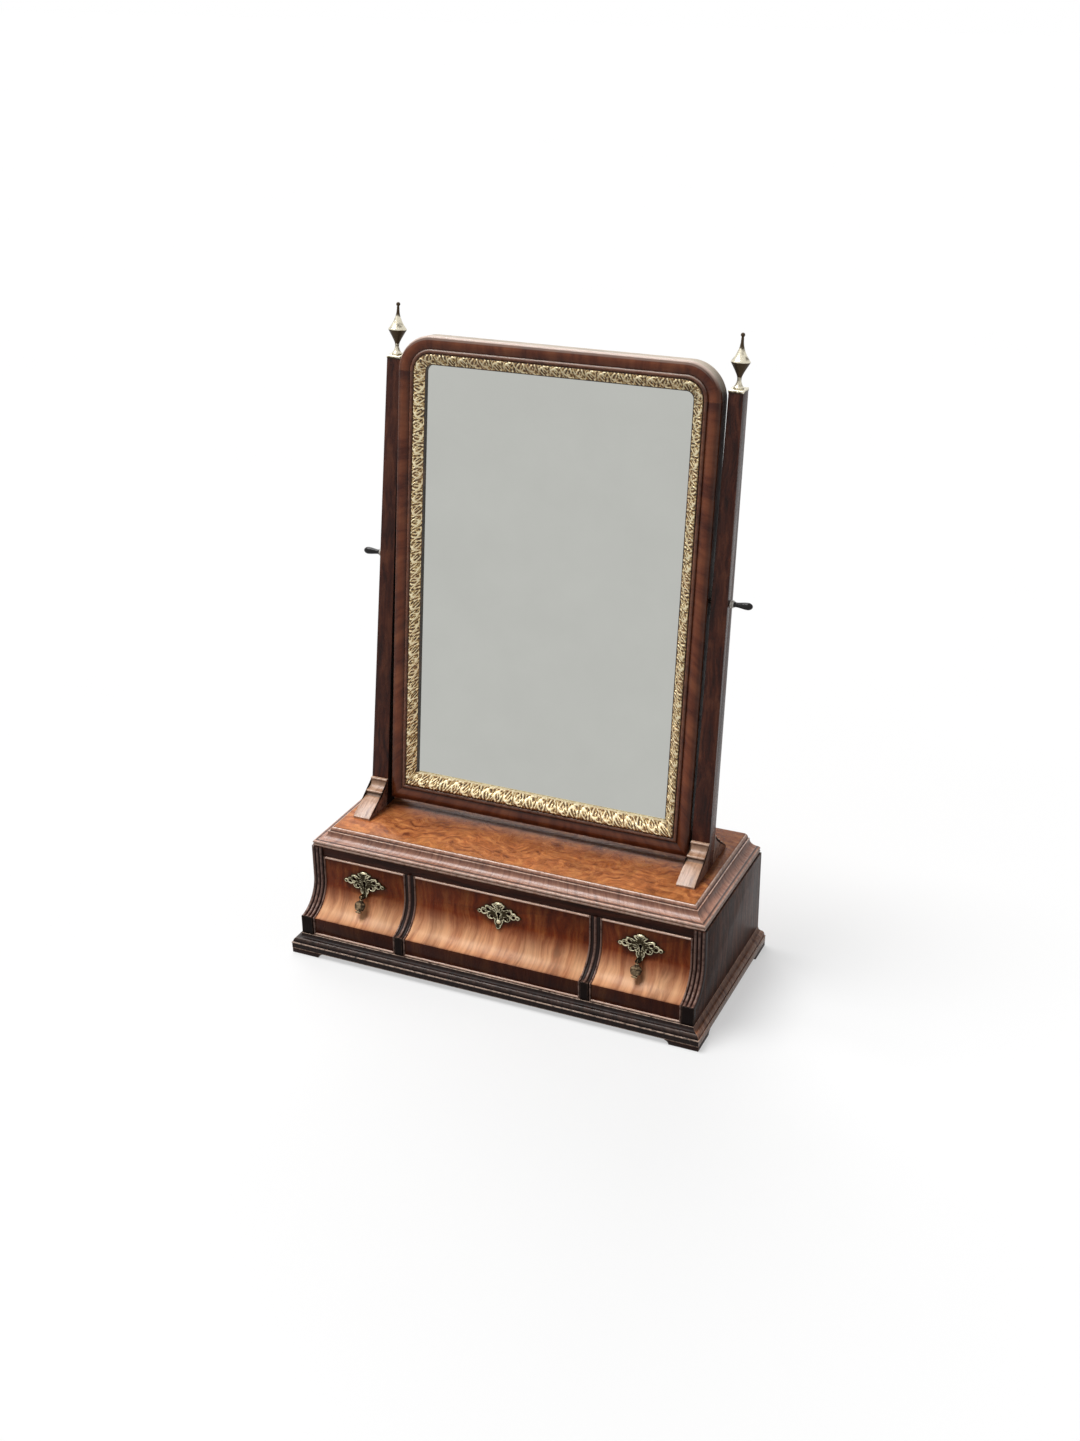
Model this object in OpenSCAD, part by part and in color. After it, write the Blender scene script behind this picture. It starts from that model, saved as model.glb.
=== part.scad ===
// Tilting toilet mirror on a box stand with three small drawers.
// +Z is up and the drawers face -Y. The origin is the middle of the footprint on the table.

/* [Base] */
// Width of the drawer box
box_w = 423; // [400:1:450]
// Depth of the drawer box at the lip below the drawer fronts
lip_d = 194.5; // [188:0.5:198]
// Depth of the drawer box at the upright part of the fronts
body_d = 167; // [163:0.5:172]
// Height of the drawer box between plinth and top
box_h = 86.5; // [82:0.5:96]
// Height of the low corner feet
foot_h = 5; // [3:0.5:9]
// Length of each foot along the plinth
foot_len = 34; // [24:1:50]
// Height of the plinth moulding
plinth_h = 15.5; // [13:0.5:20]
// Thickness of the plinth moulding, front to back
plinth_t = 16; // [13:0.5:20]
// How far the plinth stands out past the box
plinth_out = 8.5; // [6:0.5:10]
// Thickness of the box sides
side_t = 12.5; // [11:0.5:15]
// Thickness of the upright partitions between the drawers
partition_t = 8.5; // [7.5:0.5:11]
// Thickness of the back board
back_t = 9; // [6:0.5:12]
// Thickness of the bottom board
bottom_t = 9; // [7:0.5:10]
// Height of the rail above the drawers
rail_h = 9.5; // [8:0.5:12]
// Depth of the rail above the drawers
rail_d = 20; // [16:0.5:26]

/* [Front curve] */
// Radius of the hollow that sweeps out to the lip
cove_r = 33; // [30:0.5:38]
// Height of the lip above the plinth
lip_h = 19; // [16:0.5:22]
// How far the reeded strips stand out past the drawer fronts
strip_out = 2; // [1:0.25:3]
// Depth of the reeded strips behind the drawer fronts
strip_back = 4; // [3:0.5:6]
// Radius of each reed on the strips
reed_r = 2; // [1.5:0.25:2.5]

/* [Top] */
// Height of the top, from the box to the upper face
top_h = 17.8; // [16:0.2:22]
// How far the top moulding stands back from the box sides
top_inset = 1.5; // [0.5:0.5:3]
// Width of the top moulding
top_mould_w = 16; // [14:0.5:20]
// Height of the beads along the bottom of the top moulding
top_bead_h = 6; // [5:0.5:7]
// Thickness of the bead strip over the edge of the top board
top_lap = 3; // [2.5:0.5:4]

/* [Drawers] */
// Width of the middle drawer opening
middle_w = 192; // [170:1:210]
// Gap round each drawer
drawer_gap = 0.5; // [0.4:0.1:1]
// Thickness of the drawer fronts at the top
front_t = 12; // [10:0.5:16]
// Thickness of the drawer sides and backs
lining_t = 5; // [4:0.5:7]
// Height of the drawer sides and backs
lining_h = 66; // [50:1:68]
// Thickness of the drawer bottoms
drawer_bottom_t = 3.5; // [3:0.5:5]
// Height of the drawer bottoms above the lower edge of the sides
bottom_up = 2; // [1:0.5:4]
// Width of the bead round each drawer front
bead_w = 2; // [1.5:0.25:3]
// How far the bead stands out past the drawer front
bead_out = 1.2; // [0.6:0.1:1.8]
// How far a drawer pulls out
drawer_pull = 95; // [60:5:110]

/* [Brass] */
// Width of a handle plate
plate_w = 50; // [44:1:56]
// Height of the keyhole above the lip
key_up = 37; // [35:0.5:40]
// Thickness of a handle plate
plate_t = 1.4; // [1:0.1:2]
// Sideways place of the plates on the left, middle and right drawers
plate_shift = [0, -2, -5];
// Height of the drop's pivot below the keyhole
pivot_below = 13; // [12:0.5:14]
// How far the drop's pivot stands out past the drawer front
pivot_out = 8; // [7:0.5:10]
// Length of a drop from its pivot to its end
drop_len = 23; // [20:0.5:24]
// Widest radius of a drop
drop_r = 6; // [5:0.25:6.5]
// Thickness of a drop
drop_t = 5.4; // [4:0.2:6]
// Angle at which a drop leans out on the curved front
drop_lean = 33; // [33:1:40]
// Width of a lock
lock_w = 34; // [28:1:40]
// Height of a lock
lock_h = 22; // [20:1:26]
// Thickness of a lock
lock_t = 6; // [5:0.5:7]
// Width of a lock bolt
bolt_w = 9; // [7:0.5:12]
// Thickness of a lock bolt
bolt_t = 2.4; // [2:0.2:3]
// How far a lock bolt rises into the rail
bolt_rise = 4; // [3:0.5:5]

/* [Posts] */
// Distance between the posts
post_gap = 332; // [310:1:340]
// Width of a post at its foot
post_w = 18.5; // [16:0.5:20]
// Width of a post at its head
post_top_w = 14; // [13:0.5:16]
// Depth of a post at its foot
post_d = 16.2; // [14.5:0.2:19]
// Depth of a post at its head
post_top_d = 14.6; // [13:0.2:16]
// Height of a post above the top
post_h = 450.7; // [420:0.1:500]
// Backward lean of the posts, in degrees
post_lean = 8.5; // [6:0.1:8.6]
// Distance from the back of the box to the middle of a post's foot
post_back = 79.6; // [76:0.1:90]
// Radius of the round tenon under a post
tenon_r = 4; // [3:0.25:5]
// Length of the tenon under a post
tenon_len = 14; // [8:0.5:15]
// Length of a bracket from post to toe
bracket_len = 38; // [30:0.5:45]
// Height of a bracket
bracket_h = 28.6; // [24:0.2:36]
// Thickness of the cap plate on a post
cap_t = 3; // [2:0.25:4]
// Height of a finial above its cap plate
finial_h = 49.5; // [42:0.5:52]
// Radius of a finial at its widest rim
finial_r = 8.9; // [7:0.1:9]

/* [Mirror] */
// Height of the mirror's pivot above the top
pivot_h = 259.2; // [240:0.1:290]
// Distance of the pivot in front of the middle of the post
pivot_ahead = 0.2; // [0:0.1:3]
// Backward tilt of the mirror at rest, in degrees
tilt = 7.2; // [0:0.1:12]
// Gap between the mirror frame and each post
frame_gap = 3; // [2:0.5:6]
// Gap between the swinging frame and the top
swing_gap = 5; // [3:0.5:12]
// Height of the frame above its pivot
frame_up = 219; // [190:1:240]
// Thickness of the frame behind the pivot
frame_back = 5.5; // [5:0.5:8]
// Thickness of the frame in front of the pivot
frame_front = 12.9; // [12:0.1:16]
// Width of the frame moulding
frame_w = 16.7; // [15:0.1:20]
// Outer radius of the frame's upper corners
corner_r = 35; // [32:1:50]
// Width of the gilt slip at the sides and top
slip_w = 11; // [8:0.5:13]
// Width of the gilt slip at the bottom
slip_low_w = 14.5; // [10:0.5:18]
// Thickness of the gilt slip at the glass
slip_t = 2.5; // [2:0.25:3]
// Thickness of the mirror glass
glass_t = 3; // [2:0.25:3.5]
// Thickness of the backboard behind the glass
backboard_t = 4; // [3:0.25:4.5]
// Width of the frame behind the backboard's rebate
rebate_w = 10; // [8:0.5:12]
// Number of pins along each long edge of the backboard
pins_long = 4; // [2:1:6]
// Radius of a pivot screw
screw_r = 2.2; // [1.8:0.1:2.4]
// Length of a pivot screw inside the frame
screw_in = 8; // [6:0.5:9]
// Length of a pivot knob
knob_len = 18; // [14:0.5:24]
// Widest radius of a pivot knob
knob_r = 3.8; // [3.5:0.1:6]
// Thickness of the collar between knob and post
collar_t = 4; // [2.5:0.25:6]
// Radius of the collar between knob and post
collar_r = 3.8; // [3.2:0.1:5]

/* [Fits] */
// Clearance round a pivot screw in its bore, on the radius
screw_fit = 0.08; // [0.03:0.01:0.1]
// Clearance of glued and let-in pieces
seat_fit = 0.05; // [0:0.01:0.1]
// Clearance round a lock bolt
bolt_fit = 0.2; // [0.1:0.05:0.4]
// Clearance round the cross pin of a drop, on the radius
drop_fit = 0.08; // [0.03:0.01:0.1]

/* [Hidden] */
$fn = 64;

// Colours, as they show on the object
walnut = [0.40, 0.22, 0.13];
dark_walnut = [0.24, 0.14, 0.10];
figured = [0.58, 0.36, 0.22];
pine = [0.66, 0.52, 0.36];
brass = [0.45, 0.38, 0.22];
pale_brass = [0.72, 0.66, 0.52];
gilt = [0.80, 0.67, 0.40];
steel = [0.50, 0.50, 0.50];
bone = [0.82, 0.80, 0.74];
ebonised = [0.06, 0.05, 0.05];
mirror_grey = [0.73, 0.74, 0.72];

// Levels
plinth_top = foot_h + plinth_h;
box_top = plinth_top + box_h;
top_z = box_top + top_h;
opening_top = box_top - rail_h;
lip_top = plinth_top + lip_h;

// Depths, all counted forward from the back plane
back_y = (lip_d + plinth_out) / 2;
face_y = back_y - body_d + strip_out;
lip_y = back_y - lip_d + strip_out;
plinth_front_y = back_y - lip_d - plinth_out;
plinth_w = box_w + 2 * plinth_out;

// The top's own edge
top_out_w = box_w - 2 * top_inset;
top_front_y = back_y - body_d + top_inset;

// The hollow of the front: one arc, upright at its top, that meets the lip
reach = face_y - lip_y;
cove_drop = sqrt(cove_r * cove_r - (cove_r - reach) * (cove_r - reach));
cove_top = lip_top + cove_drop;
cove_angle = acos((cove_r - reach) / cove_r);
cove_y = face_y - cove_r;

// Drawer openings, as [middle x, width]
inside_w = box_w - 2 * side_t;
side_drawer_w = (inside_w - middle_w) / 2 - partition_t;
partition_x = (middle_w + partition_t) / 2;
side_drawer_x = (middle_w + side_drawer_w) / 2 + partition_t;
LEFT = [-side_drawer_x, side_drawer_w];
MIDDLE = [0, middle_w];
RIGHT = [side_drawer_x, side_drawer_w];

// Each drawer, with its gap
drawer_lift = 0.2;
drawer_low = plinth_top + drawer_lift;
drawer_high = opening_top - drawer_gap;
front_back_y = face_y + front_t;
drawer_end_y = back_y - back_t - drawer_gap;
lining_lap = 7;
function drawer(i) = [LEFT, MIDDLE, RIGHT][i];

// Each lock and its plate
lock_y = front_back_y - lock_t;
lock_top = drawer_high;
bolt_len = 12;
function lock_x(i) = drawer(i)[0] + plate_shift[i];

// Brass
key_z = lip_top + key_up;
drop_pivot_z = key_z - pivot_below;
drop_pivot_y = face_y - pivot_out;
pin_r = 1.5;
cross_pin_r = 0.8;
eye_r = 2.1;
eye_t = 2.2;
fork_gap = eye_t + 0.5;
fork_t = 1.1;

// Posts
post_in = post_gap / 2;
post_foot_y = back_y - post_back;
post_head_y = post_foot_y + post_h * tan(post_lean);
post_head_z = top_z + post_h;
function post_mid_y(z) = post_foot_y + (z - top_z) * tan(post_lean);
function post_out(z) = post_in + post_w + (post_top_w - post_w) * (z - top_z) / post_h;
function post_half_d(z) = (post_d + (post_top_d - post_d) * (z - top_z) / post_h) / 2;

finial_base_r = finial_r * 0.66;
finial_pin_r = 1.6;
finial_pin_len = 12;

// Mirror
pivot_z = top_z + pivot_h;
pivot_y = post_mid_y(pivot_z) - pivot_ahead;
frame_half = post_in - frame_gap;
frame_low = sqrt((pivot_h - swing_gap) * (pivot_h - swing_gap) - frame_front * frame_front);
corner_z = frame_up - corner_r;
slip_half = frame_half - frame_w;
slip_top = frame_up - frame_w;
slip_bottom = frame_low - frame_w;
slip_sink = 0.4;
slip_front = frame_front - slip_sink;
slip_back = 4.6;
glass_back = slip_back - glass_t;
collar_x = post_out(pivot_z - collar_r) + seat_fit;
knob_x = collar_x + collar_t;
screw_in_knob = knob_len * 0.55;
bore_gap = 0.3;
rebate_gap = 0.3;
pin_inset = 2.8;
nail_r = 0.6;
nail_len = backboard_t + 3;
nail_head_r = 1.5;
nail_head_t = 0.6;
nut_w = 9;
nut_h = 28;
nut_t = 2.2;

// ---------------------------------------------------------------- helpers

// Draws a (y, z) outline and runs it along X from x0
module along_x(x0, length) {
    translate([x0, 0, 0]) rotate([90, 0, 90]) linear_extrude(length) children();
}

// Draws an (x, z) outline and runs it along Y from y0
module along_y(y0, length) {
    translate([0, y0 + length, 0]) rotate([90, 0, 0]) linear_extrude(length) children();
}

module block(low, high) {
    translate(low) cube(high - low);
}

// Points along an arc, for outlines
function arc(cx, cy, r, a0, a1, n) = [for (i = [0 : n]) let (a = a0 + (a1 - a0) * i / n)
    [cx + r * cos(a), cy + r * sin(a)]];

// Points of a quarter turn that leaves (x0, y0) upright and arrives at (x1, y1) level
function upright_to_level(x0, y0, x1, y1, n = 8) = [for (i = [0 : n]) let (t = 90 * i / n)
    [x1 - (x1 - x0) * cos(t), y0 + (y1 - y0) * sin(t)]];

// Points of a quarter turn that leaves (x0, y0) level and arrives at (x1, y1) upright
function level_to_upright(x0, y0, x1, y1, n = 8) = [for (i = [0 : n]) let (t = 90 * i / n)
    [x0 + (x1 - x0) * sin(t), y0 + (y1 - y0) * (1 - cos(t))]];

// The (y, z) section behind the curved front, its surface moved out by `out`, between z0 and z1
module front_section(out, rear_y, z0, z1) {
    intersection() {
        translate([lip_y - lip_d, z0]) square([rear_y - lip_y + lip_d, z1 - z0]);
        difference() {
            union() {
                translate([face_y - out, plinth_top]) square([rear_y - face_y + out, box_h]);
                translate([lip_y - out, plinth_top]) square([rear_y - lip_y + out, cove_top - plinth_top]);
            }
            translate([cove_y, cove_top]) circle(r = cove_r - out, $fn = 128);
        }
    }
}

// How far forward the curved front comes at a height in its hollow, moved out by `out`
function front_at(z, out) = cove_y + sqrt(pow(cove_r - out, 2) - pow(cove_top - z, 2));

// ---------------------------------------------------------------- box

module bottom_board() {
    color(pine)
        block([-plinth_w / 2 + plinth_t, plinth_front_y + plinth_t, plinth_top - bottom_t],
              [plinth_w / 2 - plinth_t, back_y, plinth_top]);
}

module back_board() {
    color(pine)
        block([-inside_w / 2, back_y - back_t, plinth_top], [inside_w / 2, back_y, box_top]);
}

module box_side(side) {
    x0 = side > 0 ? inside_w / 2 : -box_w / 2;
    color(walnut) along_x(x0, side_t) front_section(-strip_back, back_y, plinth_top, box_top);
}

module side_left() { box_side(-1); }
module side_right() { box_side(1); }

module partition(side) {
    color(pine) along_x(side * partition_x - partition_t / 2, partition_t) difference() {
        front_section(-strip_back, back_y - back_t, plinth_top, box_top);
        translate([face_y - 1, opening_top]) square([rail_d + 1, rail_h + 1]);
    }
}

module partition_left() { partition(-1); }
module partition_right() { partition(1); }

// Section of a reeded strip: x runs across it and y runs in from the drawer fronts
module strip_section(width, reeds) {
    translate([-width / 2, -0.4]) square([width, strip_back + 0.4]);
    for (i = [0 : reeds - 1])
        translate([(i - (reeds - 1) / 2) * width / reeds, reed_r - strip_out]) circle(r = reed_r, $fn = 32);
}

// A reeded strip that follows the curved front: upright, hollow and lip
module reeded_strip(x, width, reeds, z_high) {
    translate([x, face_y, cove_top]) linear_extrude(z_high - cove_top) strip_section(width, reeds);
    translate([x, cove_y, cove_top]) rotate([-90, 0, 0]) rotate([0, -90, 0])
        rotate_extrude(angle = cove_angle, $fn = 128) translate([cove_r, 0]) rotate(-90)
            strip_section(width, reeds);
    block([x - width / 2, lip_y - strip_out, plinth_top], [x + width / 2, lip_y + strip_back, lip_top + 1]);
}

module front_strips() {
    color(dark_walnut) {
        for (side = [-1, 1]) {
            reeded_strip(side * (box_w - side_t) / 2, side_t, 3, box_top);
            reeded_strip(side * partition_x, partition_t, 1, opening_top);
        }
    }
}

module top_rail() {
    color(dark_walnut) difference() {
        block([-inside_w / 2, face_y, opening_top], [inside_w / 2, face_y + rail_d, box_top]);
        for (i = [0 : 2])
            translate([lock_x(i), lock_y + lock_t / 2, opening_top + bolt_rise / 2])
                cube([bolt_w + 1, bolt_t + 1, bolt_rise + 2], center = true);
    }
}

// ---------------------------------------------------------------- top and plinth

module top_board() {
    color(figured) difference() {
        union() {
            block([-top_out_w / 2 + top_lap, top_front_y + top_lap, box_top],
                  [top_out_w / 2 - top_lap, back_y, box_top + top_bead_h]);
            block([-top_out_w / 2 + top_mould_w, top_front_y + top_mould_w, box_top],
                  [top_out_w / 2 - top_mould_w, back_y, top_z]);
        }
        for (side = [-1, 1]) post_tenon(side, seat_fit);
    }
}

// Section of the top moulding: x runs in from the outer face and y runs up from the box.
// Two beads, a flat, a hollow, a small step and a quarter round up to the panel.
module top_section() {
    bead = top_bead_h / 2;
    rise = top_h - top_bead_h;
    hollow_x = top_mould_w - 4.4;
    hollow_z = top_bead_h + rise * 0.54;
    polygon(concat(
        [[top_lap, 0], [bead / 2, 0]],
        arc(bead / 2, bead * 0.5, bead / 2, 270, 90, 8),
        arc(bead / 2, bead * 1.5, bead / 2, 260, 90, 8),
        level_to_upright(top_lap, top_bead_h + 0.3, hollow_x, hollow_z),
        [[hollow_x, hollow_z + 1.4]],
        upright_to_level(hollow_x + 1.8, hollow_z + 1.4, top_mould_w, top_h - 0.6),
        [[top_mould_w, top_bead_h], [top_lap, top_bead_h]]));
}

// Section of the plinth: x runs in from the outer face and y runs up from its lower edge.
// An upright face, a thin bead and an ogee that slopes in to the box.
module plinth_section() {
    low = plinth_h * 0.34;
    wave_w = (plinth_out - 1.6) / 2;
    wave_h = (plinth_h - low - 2.4) / 2;
    polygon(concat(
        [[plinth_t, 0], [0.4, 0], [0.4, low]],
        arc(1, low + 1, 1, 240, 60, 8),
        upright_to_level(1.4, low + 2.4, 1.4 + wave_w, low + 2.4 + wave_h),
        level_to_upright(1.5 + wave_w, low + 2.4 + wave_h, 1.5 + 2 * wave_w, plinth_h),
        [[plinth_t, plinth_h]]));
}

// A mitred run along the front, from the outer width, the front plane and its section's own width
module front_run(width, y, z, t, h) {
    intersection() {
        along_x(-width / 2, width) translate([y, z]) children();
        translate([0, 0, z - 1]) linear_extrude(h + 2)
            polygon([[-width / 2, y], [width / 2, y], [width / 2 - t, y + t], [-width / 2 + t, y + t]]);
    }
}

// A run along one side, mitred at the front only
module side_run(side, width, y, z, t, h) {
    mirror([side > 0 ? 0 : 1, 0, 0]) intersection() {
        along_y(y, back_y - y) translate([width / 2, z]) mirror([1, 0]) children();
        translate([0, 0, z - 1]) linear_extrude(h + 2)
            polygon([[width / 2, y], [width / 2, back_y], [width / 2 - t, back_y], [width / 2 - t, y + t]]);
    }
}

module top_moulding_front() {
    color(walnut) front_run(top_out_w, top_front_y, box_top, top_mould_w, top_h) top_section();
}
module top_moulding_left() {
    color(walnut) side_run(-1, top_out_w, top_front_y, box_top, top_mould_w, top_h) top_section();
}
module top_moulding_right() {
    color(walnut) side_run(1, top_out_w, top_front_y, box_top, top_mould_w, top_h) top_section();
}
module plinth_front() {
    color(walnut) front_run(plinth_w, plinth_front_y, foot_h, plinth_t, plinth_h) plinth_section();
}
module plinth_left() {
    color(walnut) side_run(-1, plinth_w, plinth_front_y, foot_h, plinth_t, plinth_h) plinth_section();
}
module plinth_right() {
    color(walnut) side_run(1, plinth_w, plinth_front_y, foot_h, plinth_t, plinth_h) plinth_section();
}

// One low bracket foot: an L on plan, each leg hollowed at its inner end
module foot(sx, front) {
    inset = 0.4;
    x = plinth_w / 2 - inset;
    y = front ? plinth_front_y + inset : back_y;
    dir = front ? 1 : -1;
    mirror([sx > 0 ? 0 : 1, 0, 0]) difference() {
        linear_extrude(foot_h) polygon([
            [x, y], [x - foot_len, y], [x - foot_len, y + dir * plinth_t],
            [x - plinth_t, y + dir * plinth_t], [x - plinth_t, y + dir * foot_len], [x, y + dir * foot_len]]);
        translate([x - foot_len, y, 0]) rotate([90, 0, 0])
            cylinder(r = foot_h - 1, h = 4 * plinth_t, center = true, $fn = 48);
        translate([x, y + dir * foot_len, 0]) rotate([0, 90, 0])
            cylinder(r = foot_h - 1, h = 4 * plinth_t, center = true, $fn = 48);
    }
}

module feet() {
    color(dark_walnut) for (sx = [-1, 1]) for (front = [true, false]) foot(sx, front);
}

// ---------------------------------------------------------------- posts

module post_tenon(side, grow) {
    translate([side * (post_in + post_w / 2), post_foot_y, top_z]) rotate([-post_lean, 0, 0])
        translate([0, 0, -tenon_len - grow]) cylinder(r = tenon_r + grow, h = tenon_len + grow + 2);
}

// The outline of a post from the side, as (y, z)
module post_side_view() {
    polygon([[post_foot_y - post_d / 2, top_z], [post_foot_y + post_d / 2, top_z],
             [post_head_y + post_top_d / 2, post_head_z], [post_head_y - post_top_d / 2, post_head_z]]);
}

module post(side) {
    color(dark_walnut) difference() {
        union() {
            intersection() {
                along_x(-box_w / 2, box_w) post_side_view();
                along_y(-box_w, 2 * box_w) polygon([
                    [side * post_in, top_z], [side * (post_in + post_w), top_z],
                    [side * (post_in + post_top_w), post_head_z], [side * post_in, post_head_z]]);
            }
            intersection() {
                post_tenon(side, 0);
                block([-box_w, -box_w, 0], [box_w, box_w, top_z + 1]);
            }
        }
        translate([0, pivot_y, pivot_z]) rotate([0, 90, 0])
            cylinder(r = screw_r + screw_fit, h = box_w, center = true);
        finial_place(side) translate([0, 0, -finial_pin_len - seat_fit])
            cylinder(r = finial_pin_r + seat_fit, h = 2 * finial_pin_len);
    }
}

module post_left() { post(-1); }
module post_right() { post(1); }

// The outline of a bracket, forward of the post's foot and up from the top. lean is how far the
// post's face has moved by the bracket's upper edge. A roll, a hollow, a step and a long ogee.
module bracket_view(lean) {
    toe_h = 2.2;
    step_y = lean + bracket_len * 0.33;
    step_z = bracket_h * 0.64;
    wave_y = step_y + bracket_len * 0.1;
    wave_z = step_z * 0.76;
    polygon(concat(
        [[0, 0], [lean, bracket_h]],
        arc(lean + 2.2, bracket_h - 1.2, 1.2, 90, -60, 6),
        upright_to_level(lean + 3, bracket_h - 2.6, step_y, step_z + 0.8, 6),
        arc(step_y + 0.3, step_z - 0.4, 1.2, 90, -50, 6),
        upright_to_level(step_y + 0.9, step_z - 1.4, wave_y, wave_z, 6),
        [for (i = [1 : 8]) let (k = i / 8)
            [wave_y + (bracket_len - wave_y) * k, wave_z + (toe_h - wave_z) * pow(k, 1.4)]],
        [[bracket_len, 0]]));
}

// One bracket, against the front or the rear face of a post
module bracket(side, rear) {
    dir = rear ? 1 : -1;
    foot_y = post_foot_y + dir * post_d / 2;
    head_y = post_head_y + dir * post_top_d / 2;
    slope = dir * (head_y - foot_y) / post_h;
    along_x(side > 0 ? post_in : -post_in - post_w, post_w) translate([foot_y, top_z])
        mirror([rear ? 0 : 1, 0]) bracket_view(slope * bracket_h);
}

module brackets() {
    color(walnut) for (side = [-1, 1]) for (rear = [false, true]) bracket(side, rear);
}

// The turned outline of a finial, as (radius, height)
module finial_profile() {
    h = finial_h;
    r = finial_r;
    polygon(concat(
        [[0, 0], [finial_base_r, 0], [finial_base_r, 0.8]],
        [for (i = [0 : 5]) let (k = i / 5) [r * (0.30 + 0.32 * (1 - k) * (1 - k)), 0.8 + h * 0.15 * k]],
        [for (i = [1 : 6]) let (k = i / 6) [r * (0.30 + 0.70 * pow(k, 0.8)), h * (0.17 + 0.30 * k)]],
        [[r, h * 0.50]],
        [for (i = [1 : 8]) let (k = i / 8) [r * (0.16 + 0.70 * pow(1 - k, 2.4)), h * (0.51 + 0.35 * k)]],
        [[r * 0.16, h * 0.91], [0, h * 0.91]]));
    intersection() {
        translate([0, h * 0.95]) circle(r = h * 0.05, $fn = 32);
        translate([0, h * 0.8]) square([h * 0.1, h * 0.3]);
    }
}

module cap_plate(side) {
    difference() {
        translate([side * (post_in + post_top_w / 2), post_head_y, post_head_z + cap_t / 2])
            cube([post_top_w + 0.8, post_top_d + 0.8, cap_t], center = true);
        finial_place(side)
            cylinder(r = finial_pin_r + seat_fit, h = 2 * finial_pin_len, center = true, $fn = 32);
    }
}

// A turned finial with its base cut level, and a pin down through the cap plate into the post
module finial(side) {
    difference() {
        finial_place(side) {
            rotate_extrude() finial_profile();
            translate([0, 0, -2]) cylinder(r = finial_base_r, h = 2.2);
        }
        translate([-box_w, 0, post_head_z - 30])
            cube([2 * box_w, 2 * back_y, 30 + cap_t + seat_fit]);
    }
    finial_place(side) translate([0, 0, -finial_pin_len])
        cylinder(r = finial_pin_r, h = finial_pin_len + 2, $fn = 32);
}

module finials() {
    color(pale_brass) for (side = [-1, 1]) {
        cap_plate(side);
        finial(side);
    }
}

// Sets a piece on the cap plate, leaning with the post
module finial_place(side) {
    translate([side * (post_in + post_top_w / 2), post_head_y, post_head_z + cap_t])
        rotate([-post_lean, 0, 0]) children();
}

// ---------------------------------------------------------------- mirror

// Puts the mirror's own frame in place: x across, z up its face and -y out of its face
module on_mirror() {
    translate([0, pivot_y, pivot_z]) rotate([-tilt, 0, 0]) children();
}

// Section of the frame: x runs in from the outer edge, y runs out of the face.
// A tall outer side with a rounded shoulder, a broad cushion that sinks to a shallow valley, and
// an inner roll.
module frame_section() {
    shoulder_r = 3.1;
    shoulder_y = frame_front - 0.55 - shoulder_r;
    roll_r = 2.1;
    roll_x = frame_w - roll_r;
    roll_y = frame_front - 2.7;
    crest_x = frame_w * 0.36;
    cushion_x0 = shoulder_r - 0.4;
    cushion_x1 = frame_w - 2 * roll_r - 0.1;
    rear_y = -frame_back;
    polygon(concat(
        [[rebate_w, rear_y], [0, rear_y]],
        arc(shoulder_r, shoulder_y, shoulder_r, 180, 97, 7),
        [for (i = [1 : 10]) let (x = cushion_x0 + (cushion_x1 - cushion_x0) * i / 10,
            fall = (x - crest_x) / (cushion_x1 - crest_x)) [x, frame_front - 2 * fall * fall]],
        arc(roll_x, roll_y, roll_r, 165, 0, 9),
        [[frame_w, rear_y + backboard_t], [rebate_w, rear_y + backboard_t]]));
}

// Section of the gilt slip: x runs in from its outer edge, y runs out of the face.
// A raised outer edge and an ogee that falls to the glass.
module slip_section(width) {
    crest_x = 2.6;
    edge_y = slip_front - 1.4;
    sight_y = slip_back + slip_t;
    polygon(concat(
        [[width, slip_back], [0, slip_back], [0, edge_y]],
        upright_to_level(0, edge_y, crest_x, slip_front),
        [for (i = [1 : 8]) let (k = i / 8)
            [crest_x + (width - crest_x) * k, sight_y + (slip_front - sight_y) * (1 + cos(180 * k)) / 2]]));
}

// Runs a section up one side of the mirror, from z0 to z1, with its outer edge at x = half
module upright_run(side, half, z0, z1) {
    mirror([side > 0 ? 0 : 1, 0, 0]) translate([half, 0, z0]) linear_extrude(z1 - z0)
        rotate(180) children();
}

// Runs a section across the mirror, from one side to the other, with its outer edge at z
module cross_run(half, z, upper) {
    along_x(-half, 2 * half) translate([0, z])
        mirror([upper ? 1 : 0, 0]) rotate(upper ? -90 : 90) children();
}

// Runs a section round one upper corner
module corner_run(side, half, z, r) {
    mirror([side > 0 ? 0 : 1, 0, 0]) translate([half - r, 0, z - r]) rotate([90, 0, 0])
        rotate_extrude(angle = 90, $fn = 128) translate([r, 0]) mirror([1, 0]) children();
}

// What lies above the mitres of the lower corners: the sides of the mirror
module above_mitre(half, low, width, low_width, up) {
    along_y(-40, 80) for (side = [-1, 1]) mirror([side > 0 ? 0 : 1, 0])
        polygon([[half + 1, -low - low_width / width], [half + 1, up], [half - width, up],
                 [half - width, -low + low_width]]);
}

// What lies below the mitres of the lower corners: the bottom of the mirror
module below_mitre(half, low, width, low_width) {
    along_y(-40, 80) polygon([[-half - 1, -low - low_width / width], [half + 1, -low - low_width / width],
        [half - width, -low + low_width], [-half + width, -low + low_width]]);
}

module frame_top() {
    color(walnut) on_mirror() difference() {
        union() {
            cross_run(frame_half - corner_r, frame_up, true) frame_section();
            for (side = [-1, 1]) corner_run(side, frame_half, frame_up, corner_r) frame_section();
        }
        pin_bores();
    }
}

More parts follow.
